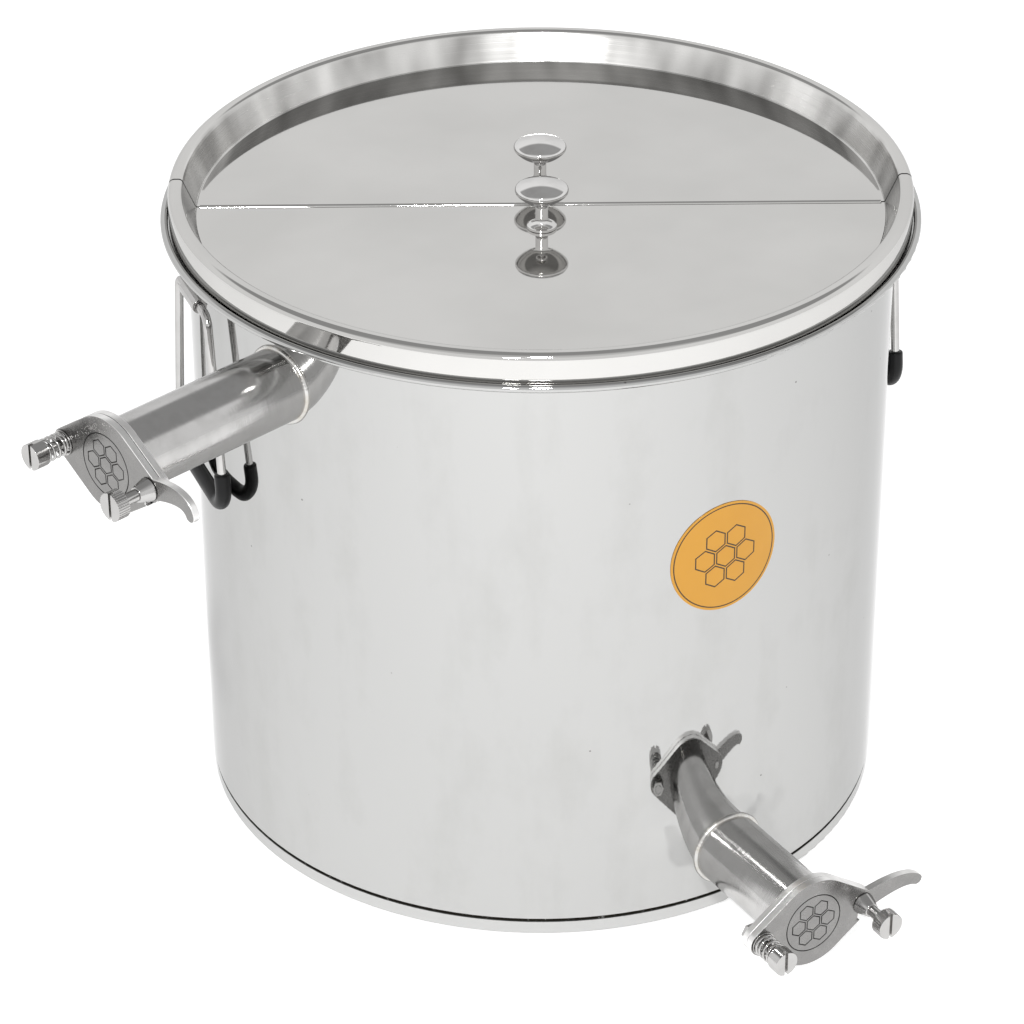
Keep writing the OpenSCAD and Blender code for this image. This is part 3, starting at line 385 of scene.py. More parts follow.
# Wheel polish gives the eye a bright, clear mirror, and turned steel glints in soft rings.
wheel_polished = worked_steel("wheel_polished_stainless", "#DCDBDA", (0.015, 0.04), (3, 3, 3), 0.05, 0.02)
turned_steel = worked_steel("turned_stainless", "#BCBBBA", (0.08, 0.2), (9, 9, 0.5), 0.06, 0.08)
print(wheel_polished.name, turned_steel.name)

# %% Steel of the tubes and wires
UPPER_TURN = math.radians(13.2)
ROUND_LOWER = (70, 0.8, 70)
ROUND_UPPER = (0.8, 70, 70)
TUBE = "polished_stainless_tube"
# Lines round a tube spread each reflection along it. Drawn wire is a narrow mirror with faint lines.
lower_tube = worked_steel(TUBE, "#C4C3C2", (0.1, 0.22), ROUND_LOWER, 0.06, 0.5)
upper_tube = worked_steel(f"{TUBE}_upper", "#C0BFBE", (0.1, 0.22), ROUND_UPPER, 0.06, 0.5, UPPER_TURN)
drawn_wire = worked_steel("bright_drawn_stainless_wire", "#BCBBBA", (0.03, 0.08), (1, 1, 24), 0.06, 0.04)
print(lower_tube.name, upper_tube.name, drawn_wire.name)

# %% Steel of the valve plates
# Tumbled castings are an even, darker satin, a ground edge is matt and painted pale as its highlight,
# and an etched groove is almost black.
cast_steel = worked_steel("tumbled_cast_stainless", "#8A8988", (0.2, 0.34), (0.9, 0.9, 0.9), 0.08, 0.1)
ground_edge_highlight = worked_steel("ground_stainless_edge_painted_highlight", "#F2F1F0", (0.26, 0.4), (12, 12, 0.7), 0.05, 0.05)
etched = worked_steel("black_etched_stainless", "#2E2D2C", (0.45, 0.6), (0.6, 0.6, 0.6), 0.1, 0.2)
print("materials", len(bpy.data.materials))

# %% [markdown]
# ## Rubber and film
# The handles have a dipped black PVC sleeve, the valves a nitrile ring, and the label is a printed
# plastic film. All three are soft plastics with two close tones and a fine matt grain, so they share
# one function. Dipped PVC is a little duller than the others.


# %% Grip, seal and label
SOFT_PATCH_MM = 18


def soft_plastic(name, colour, other, rough, grain_mm, strength, shine=0.5):
    """Rubber or film: two close tones in soft patches over a fine matt grain."""
    material = bpy.data.materials.new(name)
    material.use_nodes = True
    tree = material.node_tree
    shader = tree.nodes["Principled BSDF"]
    place = add(tree, "ShaderNodeTexCoord").outputs["Object"]
    grain = add(tree, "ShaderNodeTexNoise", {0: place, "Scale": 1000 / grain_mm, "Detail": 3.0})
    patch = add(tree, "ShaderNodeTexNoise", {0: place, "Scale": 1000 / SOFT_PATCH_MM, "Detail": 2.0})
    tones = {0: patch.outputs[0], 6: srgb(colour), 7: srgb(other)}
    tone = add(tree, "ShaderNodeMix", tones, data_type="RGBA")
    gloss = {0: patch.outputs[0], 1: 0.3, 2: 0.7, 3: rough[0], 4: rough[1]}
    spread = add(tree, "ShaderNodeMapRange", gloss)
    height = {"Height": grain.outputs[0], "Strength": strength, "Distance": 0.1 * MM}
    relief = add(tree, "ShaderNodeBump", height)
    link(tree, shader, tone.outputs[2], spread.outputs[0], relief.outputs[0])
    shader.inputs["Specular IOR Level"].default_value = shine
    return material


# Dipped PVC is a deep black with a soft shine, and nitrile is matt and a little greyer.
grip_rubber = soft_plastic("dipped_black_pvc", "#070708", "#0D0D0F", (0.3, 0.45), 0.8, 0.15, 0.25)
seal_rubber = soft_plastic("nitrile_rubber", "#141414", "#1C1C1C", (0.5, 0.6), 0.5, 0.15)
# Film is smooth, even and satin, and ink lies on it as a dark, slightly duller line.
label_film = soft_plastic("amber_printed_film", "#C08A26", "#BA8422", (0.3, 0.36), 0.6, 0.03)
label_ink = soft_plastic("dark_printing_ink", "#33230C", "#2B1D0A", (0.32, 0.4), 0.6, 0.03)
print("materials", len(bpy.data.materials))

# %% [markdown]
# ## Weld metal
# Weld metal is steel that froze drop by drop and kept a faint straw tint from the heat. Its ripples
# are real geometry further on; here it only gets the tint, in patches of 7 mm, and a satin gloss.

# %% Weld
HEAT_MM = 7
# Weld metal gives the eye a pale satin with a breath of straw colour.
weld_metal, tree, place, shader = metal("ripple_weld_metal", "#C9C7C3")
heat = add(tree, "ShaderNodeTexNoise", {0: place, "Scale": 1000 / HEAT_MM, "Detail": 2.0})
tint = add(tree, "ShaderNodeMapRange", {0: heat.outputs[0], 1: 0.45, 2: 0.75, 3: 0.0, 4: 0.6})
tones = {0: tint.outputs[0], 6: srgb("#CBCAC8"), 7: srgb("#B5AEA2")}
straw = add(tree, "ShaderNodeMix", tones, data_type="RGBA")
matt = add(tree, "ShaderNodeMapRange", {0: heat.outputs[0], 1: 0.3, 2: 0.7, 3: 0.12, 4: 0.24})
link(tree, shader, straw.outputs[2], matt.outputs[0])
print("materials", [m.name for m in bpy.data.materials])

# %% [markdown]
# ## Finishes on the CAD pieces
# The tank, the tubes and the hidden pieces have their right shape in CAD, so they only take a finish.
# A finish is a material in the mesh's slot, in place of the plain one that came with the model. The
# list goes from finish to pieces, because one finish often serves several.

# %% Dress the CAD nodes
finishes = {
    wall_sheet: ["tank_wall"],
    pan_sheet: ["tank_floor"],
    turned_steel: ["lid_front_screw", "lid_rear_screw", "lid_front_washer", "lid_rear_washer"],
    drawn_wire: ["rim_wire"],
    lower_tube: ["lower_outlet_tube"],
    upper_tube: ["upper_outlet_tube"],
    seal_rubber: ["lower_seal_ring", "upper_seal_ring"],
    label_film: ["label"],
}
for material, nodes in finishes.items():
    for node in nodes:
        mesh = frame["nodes"][node].data
        mesh.materials.clear()
        mesh.materials.append(material)
print("dressed", sum(len(nodes) for nodes in finishes.values()), "nodes")

# %% [markdown]
# ## Placing pieces
# Handles and valves are drawn flat in their own frame, as on a bench, and then put on the wall.
# The joints of the CAD model say where: each holds the pivot's place and its axis. A new piece then
# rides on a body, so that it moves with its joint, and hides the CAD node that it stands for.


# %% Frames on the wall
def on_wall(right, out, origin):
    """Frame whose X runs right seen from outside, Y up and Z outward."""
    matrix = Matrix((right, UP, out)).transposed().to_4x4()
    matrix.translation = origin
    return matrix


EAR = 41 * MM
benches = {}
for side in ("lower", "upper"):
    joint = joints[f"{side}_gate_swing"]
    out = Vector(joint["axis"])
    right = UP.cross(out)
    benches[side] = on_wall(right, out, Vector(joint["pos_m"]) + EAR * right)
for side in ("left", "right"):
    joint = joints[f"{side}_handle_swing"]
    right = -Vector(joint["axis"])
    benches[side] = on_wall(right, right.cross(UP), Vector(joint["pos_m"]))
print({name: [round(v, 4) for v in bench.translation] for name, bench in benches.items()})


# %% New pieces
def piece(name, mesh, bench, body, slot, materials, *nodes):
    """Puts a mesh on its bench frame, on a body, in place of CAD nodes."""
    made = bpy.data.objects.new(name, mesh)
    scene.collection.objects.link(made)
    made.matrix_world = bench
    for material in materials:
        mesh.materials.append(material)
    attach(made, body)
    if nodes:
        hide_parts(*nodes)
    return made


def mesh_of(name, points, faces, sharp=40):
    """Smooth mesh whose edges stay sharp above an angle."""
    mesh = bpy.data.meshes.new(name)
    mesh.from_pydata([tuple(p) for p in points], [], faces)
    shape = bmesh.new()
    shape.from_mesh(mesh)
    # Points that coincide become one, so that no face is left without area.
    bmesh.ops.remove_doubles(shape, verts=shape.verts, dist=0.001 * MM)
    bmesh.ops.recalc_face_normals(shape, faces=shape.faces)
    for face in shape.faces:
        face.smooth = True
    shape.to_mesh(mesh)
    shape.free()
    mesh.set_sharp_from_angle(angle=math.radians(sharp))
    return mesh


# %% [markdown]
# ## Lid
# A mirror shows every flat of a coarse mesh, so the lid's halves and knobs are spun again here with
# fine steps. A half is its section led round the axis, and each ring stops where the straight split
# cuts it. Along the split the floor turns down in a hem, which is the same section led straight.


# %% Sections
def arc(middle, radius, start, end, steps):
    """Points of an arc in a section of radius and height, angles in degrees."""
    turns = [math.radians(start + (end - start) * k / steps) for k in range(steps + 1)]
    return [(middle[0] + radius * math.cos(t), middle[1] + radius * math.sin(t)) for t in turns]


def straight(start, end, margin=0.3):
    """Two points just inside the ends of a flat stretch, so that it stays flat when smoothed."""
    a, b = Vector(start), Vector(end)
    inset = (b - a).normalized() * margin
    return [tuple(a + inset), tuple(b - inset)]


def shell(outer, inner, place, steps):
    """Points and faces of a sheet between two skins of equal length, led along place(spot, share)."""
    ring = list(outer) + list(reversed(inner))
    count, half = len(ring), len(outer)
    points = [place(spot, k / steps) for k in range(steps + 1) for spot in ring]
    faces = []
    for k in range(steps):
        for i in range(count):
            a, b = k * count + i, k * count + (i + 1) % count
            faces.append((a, b, b + count, a + count))
    for base in (0, steps * count):
        for i in range(half - 1):
            faces.append((base + i, base + i + 1, base + count - 2 - i, base + count - 1 - i))
    return points, faces


print("quarter arc", [(round(r, 2), round(z, 2)) for r, z in arc((0, 0), 1, 0, 90, 2)])


# %% Lid sizes in millimetres
LID_R = 251
LID_H = 22.8
LID_T = 1
RIM_W = 10
RECESS = 20.9
LEAN = math.radians(23)
OUTER_R = 4.5
INNER_R = 3
CORNER_R = 1.5
HALF_GAP = 0.8
HEM_R = 2
HEM_H = 10
SPLIT = math.radians(-31.2)
FLOOR_RADII = (HALF_GAP + HEM_R, 20, 60, 110, 160, 210)
PAST_HEM = 0.01
lid_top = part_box("lid_rear")[1].z / MM
floor_z = lid_top - RECESS
inner_mid = (LID_R - RIM_W + INNER_R, lid_top - INNER_R)
outer_mid = (LID_R - OUTER_R, lid_top - OUTER_R)
slope_drop = inner_mid[1] + INNER_R * math.sin(LEAN) - floor_z - CORNER_R + CORNER_R * math.sin(LEAN)
corner_r = inner_mid[0] - (INNER_R + CORNER_R) * math.cos(LEAN) - slope_drop * math.tan(LEAN)
corner_mid = (corner_r, floor_z + CORNER_R)
hem_half = corner_r - CORNER_R
hem_mid = (HALF_GAP + HEM_R, floor_z - HEM_R)
print("lid top", round(lid_top, 2), "floor radius", round(hem_half, 2), "mm")


# %% Lid halves
def lid_skin(depth):
    """Section of the lid's skin from the hem to the skirt's lower edge, sunk by a depth."""
    lean = math.degrees(LEAN)
    # Past the hem's end a ring runs up to the split itself, so the floor has a point on either side.
    floor = [(r, floor_z - depth) for r in FLOOR_RADII + (hem_half, hem_half + PAST_HEM)]
    corner = arc(corner_mid, CORNER_R + depth, -90, -lean, 10)
    inner = arc(inner_mid, INNER_R - depth, 180 - lean, 90, 10)
    outer = arc(outer_mid, OUTER_R - depth, 90, 0, 14)
    edge = (LID_R - depth, lid_top - LID_H)
    flats = [straight(corner[-1], inner[0]), straight(inner[-1], outer[0]), straight(outer[-1], edge)]
    return floor + corner + flats[0] + inner + flats[1] + outer + flats[2] + [edge]


def on_ring(spot, share):
    """Place on the lid half at +Y: each ring runs from the split round to the split."""
    radius, height = spot
    start = math.asin((HALF_GAP + (HEM_R if radius <= hem_half else 0)) / radius)
    turn = start + (math.pi - 2 * start) * share
    return Vector((radius * math.cos(turn), radius * math.sin(turn), height)) * MM


def on_split(spot, share):
    """Place on the hem, which runs straight along the split."""
    return Vector((hem_half * (1 - 2 * share), *spot)) * MM


def hem_skin(depth):
    """Section of the hem, sunk by a depth."""
    return arc(hem_mid, HEM_R - depth, 90, 180, 8) + [(HALF_GAP + depth, floor_z - HEM_H)]


RING_STEPS = 180
for half, spin in (("rear", SPLIT), ("front", SPLIT + math.pi)):
    points, faces = shell(lid_skin(0), lid_skin(LID_T), on_ring, RING_STEPS)
    hem_points, hem_faces = shell(hem_skin(0), hem_skin(LID_T), on_split, 1)
    faces += [tuple(len(points) + i for i in face) for face in hem_faces]
    mesh = mesh_of(f"lid_{half}_spun", points + hem_points, faces)
    mesh.transform(Matrix.Rotation(spin, 4, "Z"))
    piece(f"lid_{half}_spun", mesh, Matrix(), f"lid_{half}", "stainless_sheet", [lid_sheet], f"lid_{half}")
    print(mesh.name, len(mesh.polygons), "faces")

# %% [markdown]
# ## Knobs
# Each knob is turned from bar: a coved foot, a thin stem, and a lens-shaped head with a domed crown
# and a rounded belly. Crown and belly are arcs tangent to a small round rim, and a neck arc leads the
# belly into the stem. The outline of these arcs is turned about the knob's axis.

# %% Knob sizes in millimetres
RIM_R = 2.8
CROWN_H = 5.5
BELLY_H = 10
NECK_R = 4
RISE = 27.5
KNOB_R = 18
STEM_R = 4.25
FOOT_R = 10
FOOT_H = 2
BREAK = 0.3
CRISP = 0.2
AXIS_R = 0.2
rim_x = KNOB_R - RIM_R


def middle_offset(height):
    """How far beyond the rim's level the middle of an arc lies that is tangent to the rim."""
    over = height - RIM_R
    return (rim_x**2 - over**2) / (2 * over)


crown_drop = middle_offset(CROWN_H)
belly_lift = middle_offset(BELLY_H)
print("crown radius", round(CROWN_H + crown_drop, 1), "belly radius", round(BELLY_H + belly_lift, 1), "mm")

# %% Knob outline
crown_turn = math.degrees(math.atan2(crown_drop, rim_x))
belly_turn = math.degrees(math.atan2(-belly_lift, rim_x))
belly_r = BELLY_H + belly_lift
neck_turn = math.asin((STEM_R + NECK_R) / (belly_r + NECK_R))
neck_z = RISE + belly_lift - (belly_r + NECK_R) * math.cos(neck_turn)
cove_r = FOOT_R - STEM_R
base = [(AXIS_R, 0), (FOOT_R - BREAK, 0), (FOOT_R, BREAK), (FOOT_R, FOOT_H - CRISP)]
cove = arc((FOOT_R, FOOT_H + cove_r), cove_r, 270, 180, 14)
neck = arc((STEM_R + NECK_R, neck_z), NECK_R, 180, 90 + math.degrees(neck_turn), 12)
belly = arc((0, RISE + belly_lift), belly_r, math.degrees(neck_turn) - 90, belly_turn, 16)[1:-1]
rim = arc((rim_x, RISE), RIM_R, belly_turn, crown_turn, 20)
crown = arc((0, RISE - crown_drop), CROWN_H + crown_drop, crown_turn, 90, 16)[1:-1]
knob_outline = base + cove + straight(cove[-1], neck[0]) + neck + belly + rim + crown
print("knob outline", len(knob_outline), "points")


# %% Knobs
def turned(outline, top, steps):
    """Points and faces of a closed turned piece that ends in a point on its axis."""
    count = len(outline)
    points = []
    for k in range(steps):
        turn = 2 * math.pi * k / steps
        points += [Vector((r * math.cos(turn), r * math.sin(turn), z)) * MM for r, z in outline]
    faces = []
    for k in range(steps):
        for i in range(count - 1):
            a, b = k * count + i, (k + 1) % steps * count + i
            faces.append((a, b, b + 1, a + 1))
    faces.append(tuple(range(0, steps * count, count)))
    points.append(Vector((0, 0, top)) * MM)
    for k in range(steps):
        faces.append((k * count + count - 1, (k + 1) % steps * count + count - 1, len(points) - 1))
    return points, faces


KNOB_STEPS = 72
for half in ("front", "rear"):
    low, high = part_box(f"lid_{half}_knob")
    bench = Matrix.Translation(Vector(((low.x + high.x) / 2, (low.y + high.y) / 2, low.z)))
    mesh = mesh_of(f"lid_{half}_knob_turned", *turned(knob_outline, RISE + CROWN_H, KNOB_STEPS))
    piece(mesh.name, mesh, bench, f"lid_{half}", "polished_stainless", [wheel_polished], f"lid_{half}_knob")
    print(mesh.name, len(mesh.polygons), "faces", round((high.z - low.z) / MM, 2), "mm high")

# %% [markdown]
# ## Wire
# Handles, springs and weld beads are all a round section led along a path. One sweep makes them:
# a ring of points square to the path at each step, joined to the next ring. A second function bends
# a wire round its corners and spaces its points evenly.


# %% Sweep
def sweep(path, radii, sides, closed=False):
    """Points and faces of a round bar along a path, one radius per point."""
    count = len(path)
    points, faces = [], []
    for i, here in enumerate(path):
        before = path[i - 1] if closed or i else here
        after = path[(i + 1) % count] if closed or i < count - 1 else here
        along = (after - before).normalized()
        across = along.cross(UP).normalized()
        over = across.cross(along)
        for k in range(sides):
            turn = 2 * math.pi * k / sides
            points.append(here + radii[i] * (math.cos(turn) * across + math.sin(turn) * over))
    for i in range(count if closed else count - 1):
        for k in range(sides):
            a, b = i * sides + k, i * sides + (k + 1) % sides
            c, d = (i + 1) % count * sides + (k + 1) % sides, (i + 1) % count * sides + k
            faces.append((a, d, c, b))
    if not closed:
        faces.append(tuple(range(sides)))
        faces.append(tuple(reversed(range((count - 1) * sides, count * sides))))
    return points, faces


bar_points, bar_faces = sweep([Vector((0, 0, 0)), Vector((1, 0, 0))], [1, 1], 8)
print("a straight bar of 8 sides has", len(bar_points), "points and", len(bar_faces), "faces")


# %% Bent wire
BEND_STEPS = 12


def bent(corners, bends, step):
    """Points of a wire bent at its corners, close together."""
    corners = [Vector((x, y, 0)) * MM for x, y in corners]
    path = [corners[0]]
    for i in range(1, len(corners) - 1):
        into = (corners[i] - corners[i - 1]).normalized()
        out = (corners[i + 1] - corners[i]).normalized()
        turn = into.angle(out)
        trim = bends[i] * MM * math.tan(turn / 2)
        left = (out - out.dot(into) * into).normalized()
        start = corners[i] - trim * into
        for k in range(BEND_STEPS + 1):
            angle = turn * k / BEND_STEPS
            path.append(start + bends[i] * MM * (math.sin(angle) * into + (1 - math.cos(angle)) * left))
    path.append(corners[-1])
    dense = [path[0]]
    for here in path[1:]:
        gap = here - dense[-1]
        for k in range(1, int(gap.length / step) + 1):
            dense.append(here - gap * (1 - k * step / gap.length))
        if (here - dense[-1]).length > 0.05 * MM:
            dense.append(here)
    return dense


elbow = bent([(0, 0), (20, 0), (20, 20)], (0, 8, 0), 1 * MM)
print("an elbow of 20 mm legs has", len(elbow), "points")


# %% [markdown]
# ## Swing handles
# Each handle is one 6 mm wire, bent in a trapezium, whose ends turn in to a tube on the wall. A PVC
# sleeve covers the bar and its two bends. The wire is a sweep with thinner pins; the sleeve is a
# sweep that rounds off at both mouths.

# %% Handle path
HALF_PIN = 6
SHOULDER = 15.3
HALF_TOP = 31
HALF_BAR = 51
DROP = 137
GRIP_TOP = 108.8
WIRE_R = 3.0
PIN_R = 2.7
BAIL = [(-HALF_PIN, 0), (-HALF_TOP, 0), (-HALF_BAR, -DROP), (HALF_BAR, -DROP), (HALF_TOP, 0), (HALF_PIN, 0)]
BENDS = (0, 8, 16, 16, 8, 0)
bail_path = bent(BAIL, BENDS, 1 * MM)
bail_radii = [(PIN_R if abs(p.x) < SHOULDER * MM and p.y > -1 * MM else WIRE_R) * MM for p in bail_path]
bar_path = [p for p in bail_path if p.y < -GRIP_TOP * MM]
print("bail points", len(bail_path), "grip points", len(bar_path))


# %% Bails and grips
def mouths(path, inner, outer, lip):
    """Path and radii of a sleeve that rounds off at both ends."""
    into, out = (path[1] - path[0]).normalized(), (path[-1] - path[-2]).normalized()
    turns = [math.pi / 2 * k / 5 for k in range(6)]
    rise = [outer - lip * (1 - math.sin(turn)) for turn in turns]
    start = [path[0] + lip * (1 - math.cos(turn)) * into for turn in turns]
    end = [path[-1] - lip * (1 - math.cos(turn)) * out for turn in reversed(turns)]
    middle = path[3:-3]
    radii = [inner] + rise + [outer] * len(middle) + rise[::-1] + [inner]
    return [path[0]] + start + middle + end + [path[-1]], radii


SLEEVE_BORE = 3.1 * MM
SLEEVE_R = 5.4 * MM
SLEEVE_LIP = 1.4 * MM
SLEEVE_SIDES = 28
WIRE_SIDES = 24
sleeve = sweep(*mouths(bar_path, SLEEVE_BORE, SLEEVE_R, SLEEVE_LIP), SLEEVE_SIDES)
for side in ("left", "right"):
    body = f"{side}_handle"
    mesh = mesh_of(f"{side}_bail_wire", *sweep(bail_path, bail_radii, WIRE_SIDES))
    mesh.transform(benches[side])
    piece(mesh.name, mesh, Matrix(), body, "polished_stainless", [drawn_wire], f"{side}_bail")
    mesh = mesh_of(f"{side}_grip_sleeve", *sleeve)
    mesh.transform(benches[side])
    piece(mesh.name, mesh, Matrix(), body, "grip_rubber", [grip_rubber], f"{side}_grip")
    print(mesh.name, len(mesh.polygons), "faces")

# %% [markdown]
# ## Springs
# A spring under each pivot screw's head presses the gate on its seal. Real compression springs have
# closed ends: the first and last turn lie almost flat, so that they bear evenly. The helix below
# therefore rises slowly at both ends and faster between.

# %% Pivot springs
SPRING_FOOT = 1.4
SPRING_LENGTH = 16.5
COIL_R = 7.1
SPRING_WIRE = 0.9
TURNS = 4.5
CLOSED = 0.75
CLOSED_RISE = 0.9
COIL_STEPS = 32
COIL_SIDES = 14
SLACK = 0.05
travel = SPRING_LENGTH - 2 * SPRING_WIRE - 2 * SLACK


def coil_height(turn):
    """Height of the wire's middle after so many turns, in mm."""
    if turn < CLOSED:
        return CLOSED_RISE * turn / CLOSED
    if turn > TURNS - CLOSED:
        return travel - CLOSED_RISE * (TURNS - turn) / CLOSED
    return CLOSED_RISE + (travel - 2 * CLOSED_RISE) * (turn - CLOSED) / (TURNS - 2 * CLOSED)


coil = []
first_z = SPRING_FOOT + SPRING_WIRE + SLACK
for k in range(int(TURNS * COIL_STEPS) + 1):
    turn = 2 * math.pi * k / COIL_STEPS
    spot = Vector((COIL_R * math.cos(turn), COIL_R * math.sin(turn), first_z + coil_height(k / COIL_STEPS)))
    coil.append(spot * MM - Vector((EAR, 0, 0)))
for side in ("lower", "upper"):
    mesh = mesh_of(f"{side}_spring_coil", *sweep(coil, [SPRING_WIRE * MM] * len(coil), COIL_SIDES))
    node = f"{side}_pivot_spring"
    piece(mesh.name, mesh, benches[side], "tank", "stainless_hardware", [drawn_wire], node)
print("spring", TURNS, "turns", round(coil[-1].z / MM, 2), "mm top")

# %% [markdown]
# ## Weld beads
# Each outlet is welded to the wall by hand, drop after drop, which leaves a bead of close ripples.
# Its path is the line where the tube meets the round wall. The bead is a closed sweep whose radius
# swells and falls once per drop.

# %% Welds
WALL_R = 240
TUBE_R = 25
RING_R = 2.2
RING_SHARE = 0.97
BEAD_OUT = 0.2
BEAD_LIFT = 0.1
BEAD_SIDES = 14
DROPS = 64
DROP_STEPS = 6
for side in ("lower", "upper"):
    reach = benches[side].translation.xy.length
    line, swell = [], []
    for k in range(DROPS * DROP_STEPS):
        turn = 2 * math.pi * k / (DROPS * DROP_STEPS)
        wave = k % DROP_STEPS / DROP_STEPS
        # Each drop swells by 6 %, and the welder's pace changes the bead by up to 5 % on its way round.
        grow = 0.95 + 0.06 * math.sqrt(1 - wave) + 0.03 * math.sin(5 * turn) + 0.02 * math.sin(13 * turn)
        x, y = (TUBE_R + BEAD_OUT) * math.cos(turn), (TUBE_R + BEAD_OUT) * math.sin(turn)
        line.append(Vector((x * MM, y * MM, (math.sqrt(WALL_R**2 - x * x) + BEAD_LIFT) * MM - reach)))
        swell.append(RING_R * RING_SHARE * grow * MM)
    mesh = mesh_of(f"{side}_weld_ripples", *sweep(line, swell, BEAD_SIDES, closed=True), sharp=60)
    node = f"{side}_weld_bead"
    piece(mesh.name, mesh, benches[side], "tank", "stainless_hardware", [weld_metal], node)
print("weld", DROPS, "drops of", round(2 * math.pi * TUBE_R / DROPS, 2), "mm")

# %% [markdown]
# ## Rounded edges
# No machined or cast piece has a knife edge: each is broken by a file or a tumbler, and that narrow
# round catches the light. A copy of the CAD piece is cleaned to its plain faces, and its edges are
# bevelled. The larger faces then set the normals, so that flat faces still look flat.

# %% Soften
SAME_PLANE = math.radians(0.3)
EDGE_ANGLE = math.radians(25)
SMOOTH_ANGLE = math.radians(30)


def soften(node, bench, width, spare=None):
    """Copy of a CAD node on its bench, with rounded edges except where spare says so."""
    shape = bmesh.new()
    shape.from_mesh(frame["nodes"][node].data)
    bmesh.ops.remove_doubles(shape, verts=shape.verts, dist=0.001 * MM)
    bmesh.ops.dissolve_limit(shape, angle_limit=SAME_PLANE, verts=shape.verts, edges=shape.edges)
    shape.transform(bench.inverted())
    shape.normal_update()
    edges = []
    for edge in shape.edges:
        if len(edge.link_faces) == 2 and edge.calc_face_angle() > EDGE_ANGLE:
            if not spare or not spare((edge.verts[0].co + edge.verts[1].co) / 2):
                edges.append(edge)
    rounding = {"offset": width * MM, "segments": 3, "profile": 0.5}
    bmesh.ops.bevel(shape, geom=edges, affect="EDGES", clamp_overlap=True, **rounding)
    shape.normal_update()
    normals = corner_normals(shape, spare)
    mesh = bpy.data.meshes.new(f"{node}_rounded")
    shape.to_mesh(mesh)
    shape.free()
    # The CAD mesh brings normals of its own, which no longer fit.
    while "custom_normal" in mesh.attributes:
        mesh.attributes.remove(mesh.attributes["custom_normal"])
    mesh.materials.clear()
    mesh.normals_split_custom_set(normals)
    return mesh


def corner_normals(shape, spare):
    """A normal for each face corner, led by the larger faces. Spared edges stay sharp."""
    normals = []
    for face in shape.faces:
        face.smooth = True
        for vert in face.verts:
            normal = Vector()
            for near in vert.link_faces:
                if not spare or not spare(vert.co) or near.normal.angle(face.normal, 0) < SMOOTH_ANGLE:
                    normal += near.normal * near.calc_area()
            normals.append(normal.normalized() if normal.length else face.normal.copy())
    return normals


print("edges above", round(math.degrees(EDGE_ANGLE)), "degrees are rounded")


# %% [markdown]
# ## Valves
# A gate valve is two cast plates: a flange fixed on the tube and a gate that swings over it. The
# pivot screw is on one ear, the thumb screw with its loose cone on the other. The plates' edges were
# ground bright, and their colour is painted paler still as a highlight. The gate's emblem is etched:
# its grooves are kept sharp and take a dark finish.

# %% What stays sharp
EMBLEM_R = 22.8 * MM
EMBLEM_FOOT = -0.7 * MM
KNURL_R = 8.7 * MM


def in_emblem(spot):
    """Whether a spot lies in the etched emblem."""
    return spot.xy.length < EMBLEM_R and spot.z > EMBLEM_FOOT


def in_knurl(spot):
    """Whether a spot lies on the thumb screw's knurled edge."""
    return (spot.xy - Vector((EAR, 0))).length > KNURL_R


print("sharp: emblem within", round(EMBLEM_R / MM, 1), "mm, knurl beyond", round(KNURL_R / MM, 1), "mm")


# %% Valve pieces
CAST, GROUND_HIGHLIGHT, ETCHED = 0, 1, 2
GROOVE_TOP = -0.05 * MM
FACE_ON = 0.9
valve_pieces = [
    ("flange", "tank", 0.5, cast_steel, None),
    ("gate", "{}_gate", 0.6, cast_steel, in_emblem),
    ("pivot_screw", "tank", 0.5, turned_steel, None),
    ("pivot_washer", "tank", 0.2, turned_steel, None),
    ("pivot_locknut", "tank", 0.4, turned_steel, None),
    ("clamp_collar", "{}_clamp", 0.5, turned_steel, None),
    ("clamp_screw", "{}_thumb_screw", 0.4, turned_steel, in_knurl),
]
slots = {row["node"]: row["material_slot"] for row in frame["record"]["subparts"]}
for side in ("lower", "upper"):
    for name, body, width, material, spare in valve_pieces:
        node = f"{side}_{name}"
        mesh = soften(node, benches[side], width, spare)
        made = piece(f"{node}_rounded", mesh, benches[side], body.format(side), slots[node], [material], node)
        if name in ("gate", "flange"):
            # The ground edge's pale colour is a painted highlight along the plates' sides.
            mesh.materials.append(ground_edge_highlight)
            mesh.materials.append(etched)
            for face in mesh.polygons:
                if in_emblem(face.center):
                    face.material_index = ETCHED if face.center.z < GROOVE_TOP else CAST
                elif abs(face.normal.z) < FACE_ON:
                    face.material_index = GROUND_HIGHLIGHT
        print(made.name, len(mesh.polygons), "faces")

# %% [markdown]
# ## Handle hinges
# Each handle turns in a short tube that is welded to the wall. Its shape is right in CAD and only
# needs its edges broken, as the valve pieces did, so the same function serves.

# %% Handle hinges
for side in ("left", "right"):
    node = f"{side}_hinge"
    mesh = soften(node, benches[side], 0.5)
    piece(f"{node}_rounded", mesh, benches[side], "tank", slots[node], [turned_steel], node)
    print(node, len(mesh.polygons), "faces")

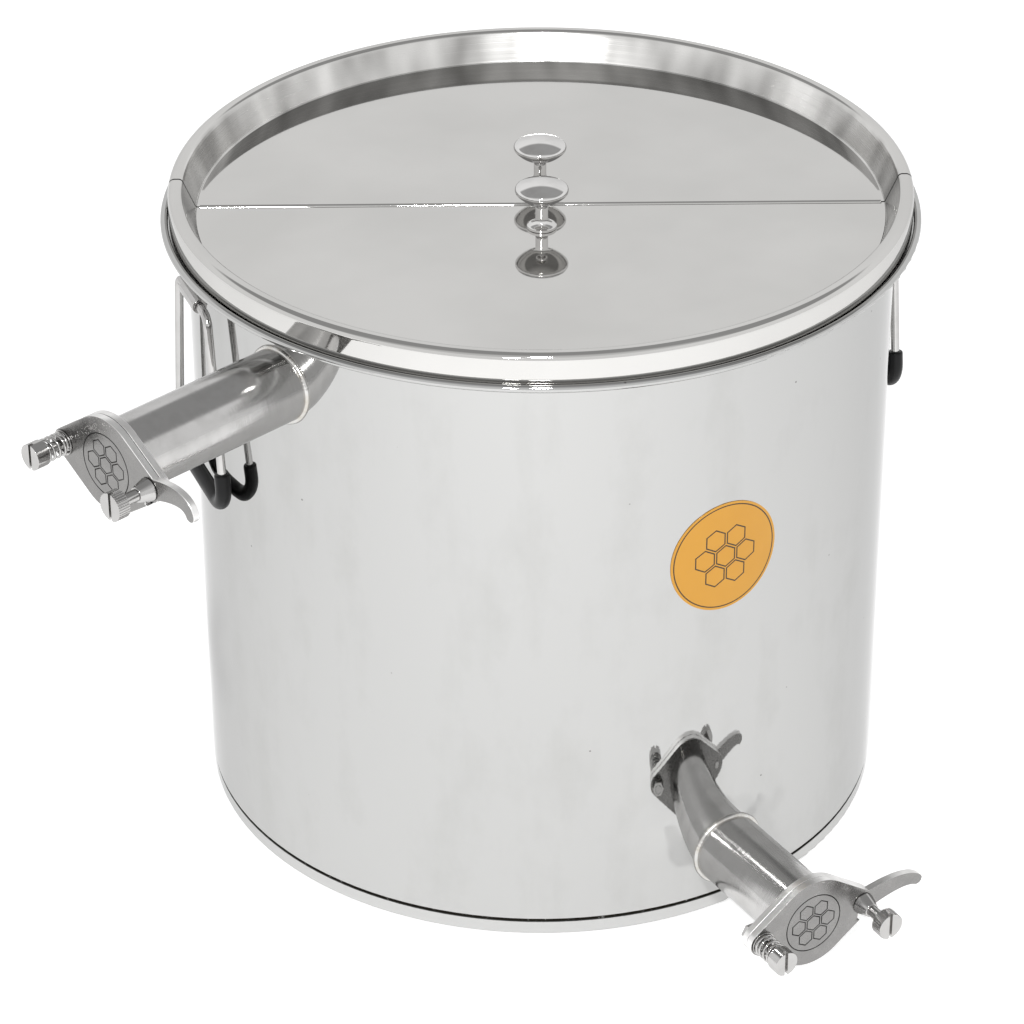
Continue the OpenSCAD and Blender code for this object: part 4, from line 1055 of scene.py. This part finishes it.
# %% [markdown]
# ## Label
# The label is a round film on the wall, printed in one dark ink. The print here is a plain border
# and a piece of honeycomb. Each line is a thin ribbon of ink, bent round the wall like the film.

# %% Ink lines
LABEL_TURN = math.radians(-92.2)
FILM_R = 240.4
INK = 0.05
SUNK = -0.02


def ring_of(corners, radius, spin, middle, steps):
    """Points round a regular outline, each side cut in steps."""
    ends = []
    for k in range(corners + 1):
        angle = spin + 2 * math.pi * k / corners
        ends.append(Vector((middle[0] + radius * math.cos(angle), middle[1] + radius * math.sin(angle))))
    return [ends[k].lerp(ends[k + 1], i / steps) for k in range(corners) for i in range(steps)]


def ribbon(outer, inner, points, faces):
    """Adds a closed band of ink between two outlines."""
    count, base = len(outer), len(points)
    for outline, depth in ((outer, INK), (inner, INK), (inner, SUNK), (outer, SUNK)):
        for spot in outline:
            points.append(Vector((spot.x, spot.y, math.sqrt((FILM_R + depth) ** 2 - spot.x**2))) * MM)
    for row in range(4):
        for k in range(count):
            a, b = base + row * count + k, base + row * count + (k + 1) % count
            c, d = base + (row + 1) % 4 * count + (k + 1) % count, base + (row + 1) % 4 * count + k
            faces.append((a, b, c, d))


print("a hexagon with sides in 5 steps has", len(ring_of(6, 1, 0, (0, 0), 5)), "points")

# %% Label print
BORDER = (38.3, 37.5)
CELL = 15.5
LINES = (0.9, 2.7)
low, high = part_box("label")
label_right = Vector((-math.sin(LABEL_TURN), math.cos(LABEL_TURN), 0))
label_out = Vector((math.cos(LABEL_TURN), math.sin(LABEL_TURN), 0))
label_bench = on_wall(label_right, label_out, UP * (low.z + high.z) / 2)
points, faces = [], []
ribbon(*[ring_of(120, radius, 0, (0, 0), 1) for radius in BORDER], points, faces)
for k in range(7):
    angle = math.radians(60 * k)
    middle = (0, 0) if k == 6 else (CELL * math.cos(angle), CELL * math.sin(angle))
    outlines = [ring_of(6, (CELL - line) / math.sqrt(3), math.radians(30), middle, 5) for line in LINES]
    ribbon(*outlines, points, faces)
print_mesh = mesh_of("label_print", points, faces)
piece("label_print", print_mesh, label_bench, "tank", "label_film", [label_ink])
print("label print", len(faces), "faces")
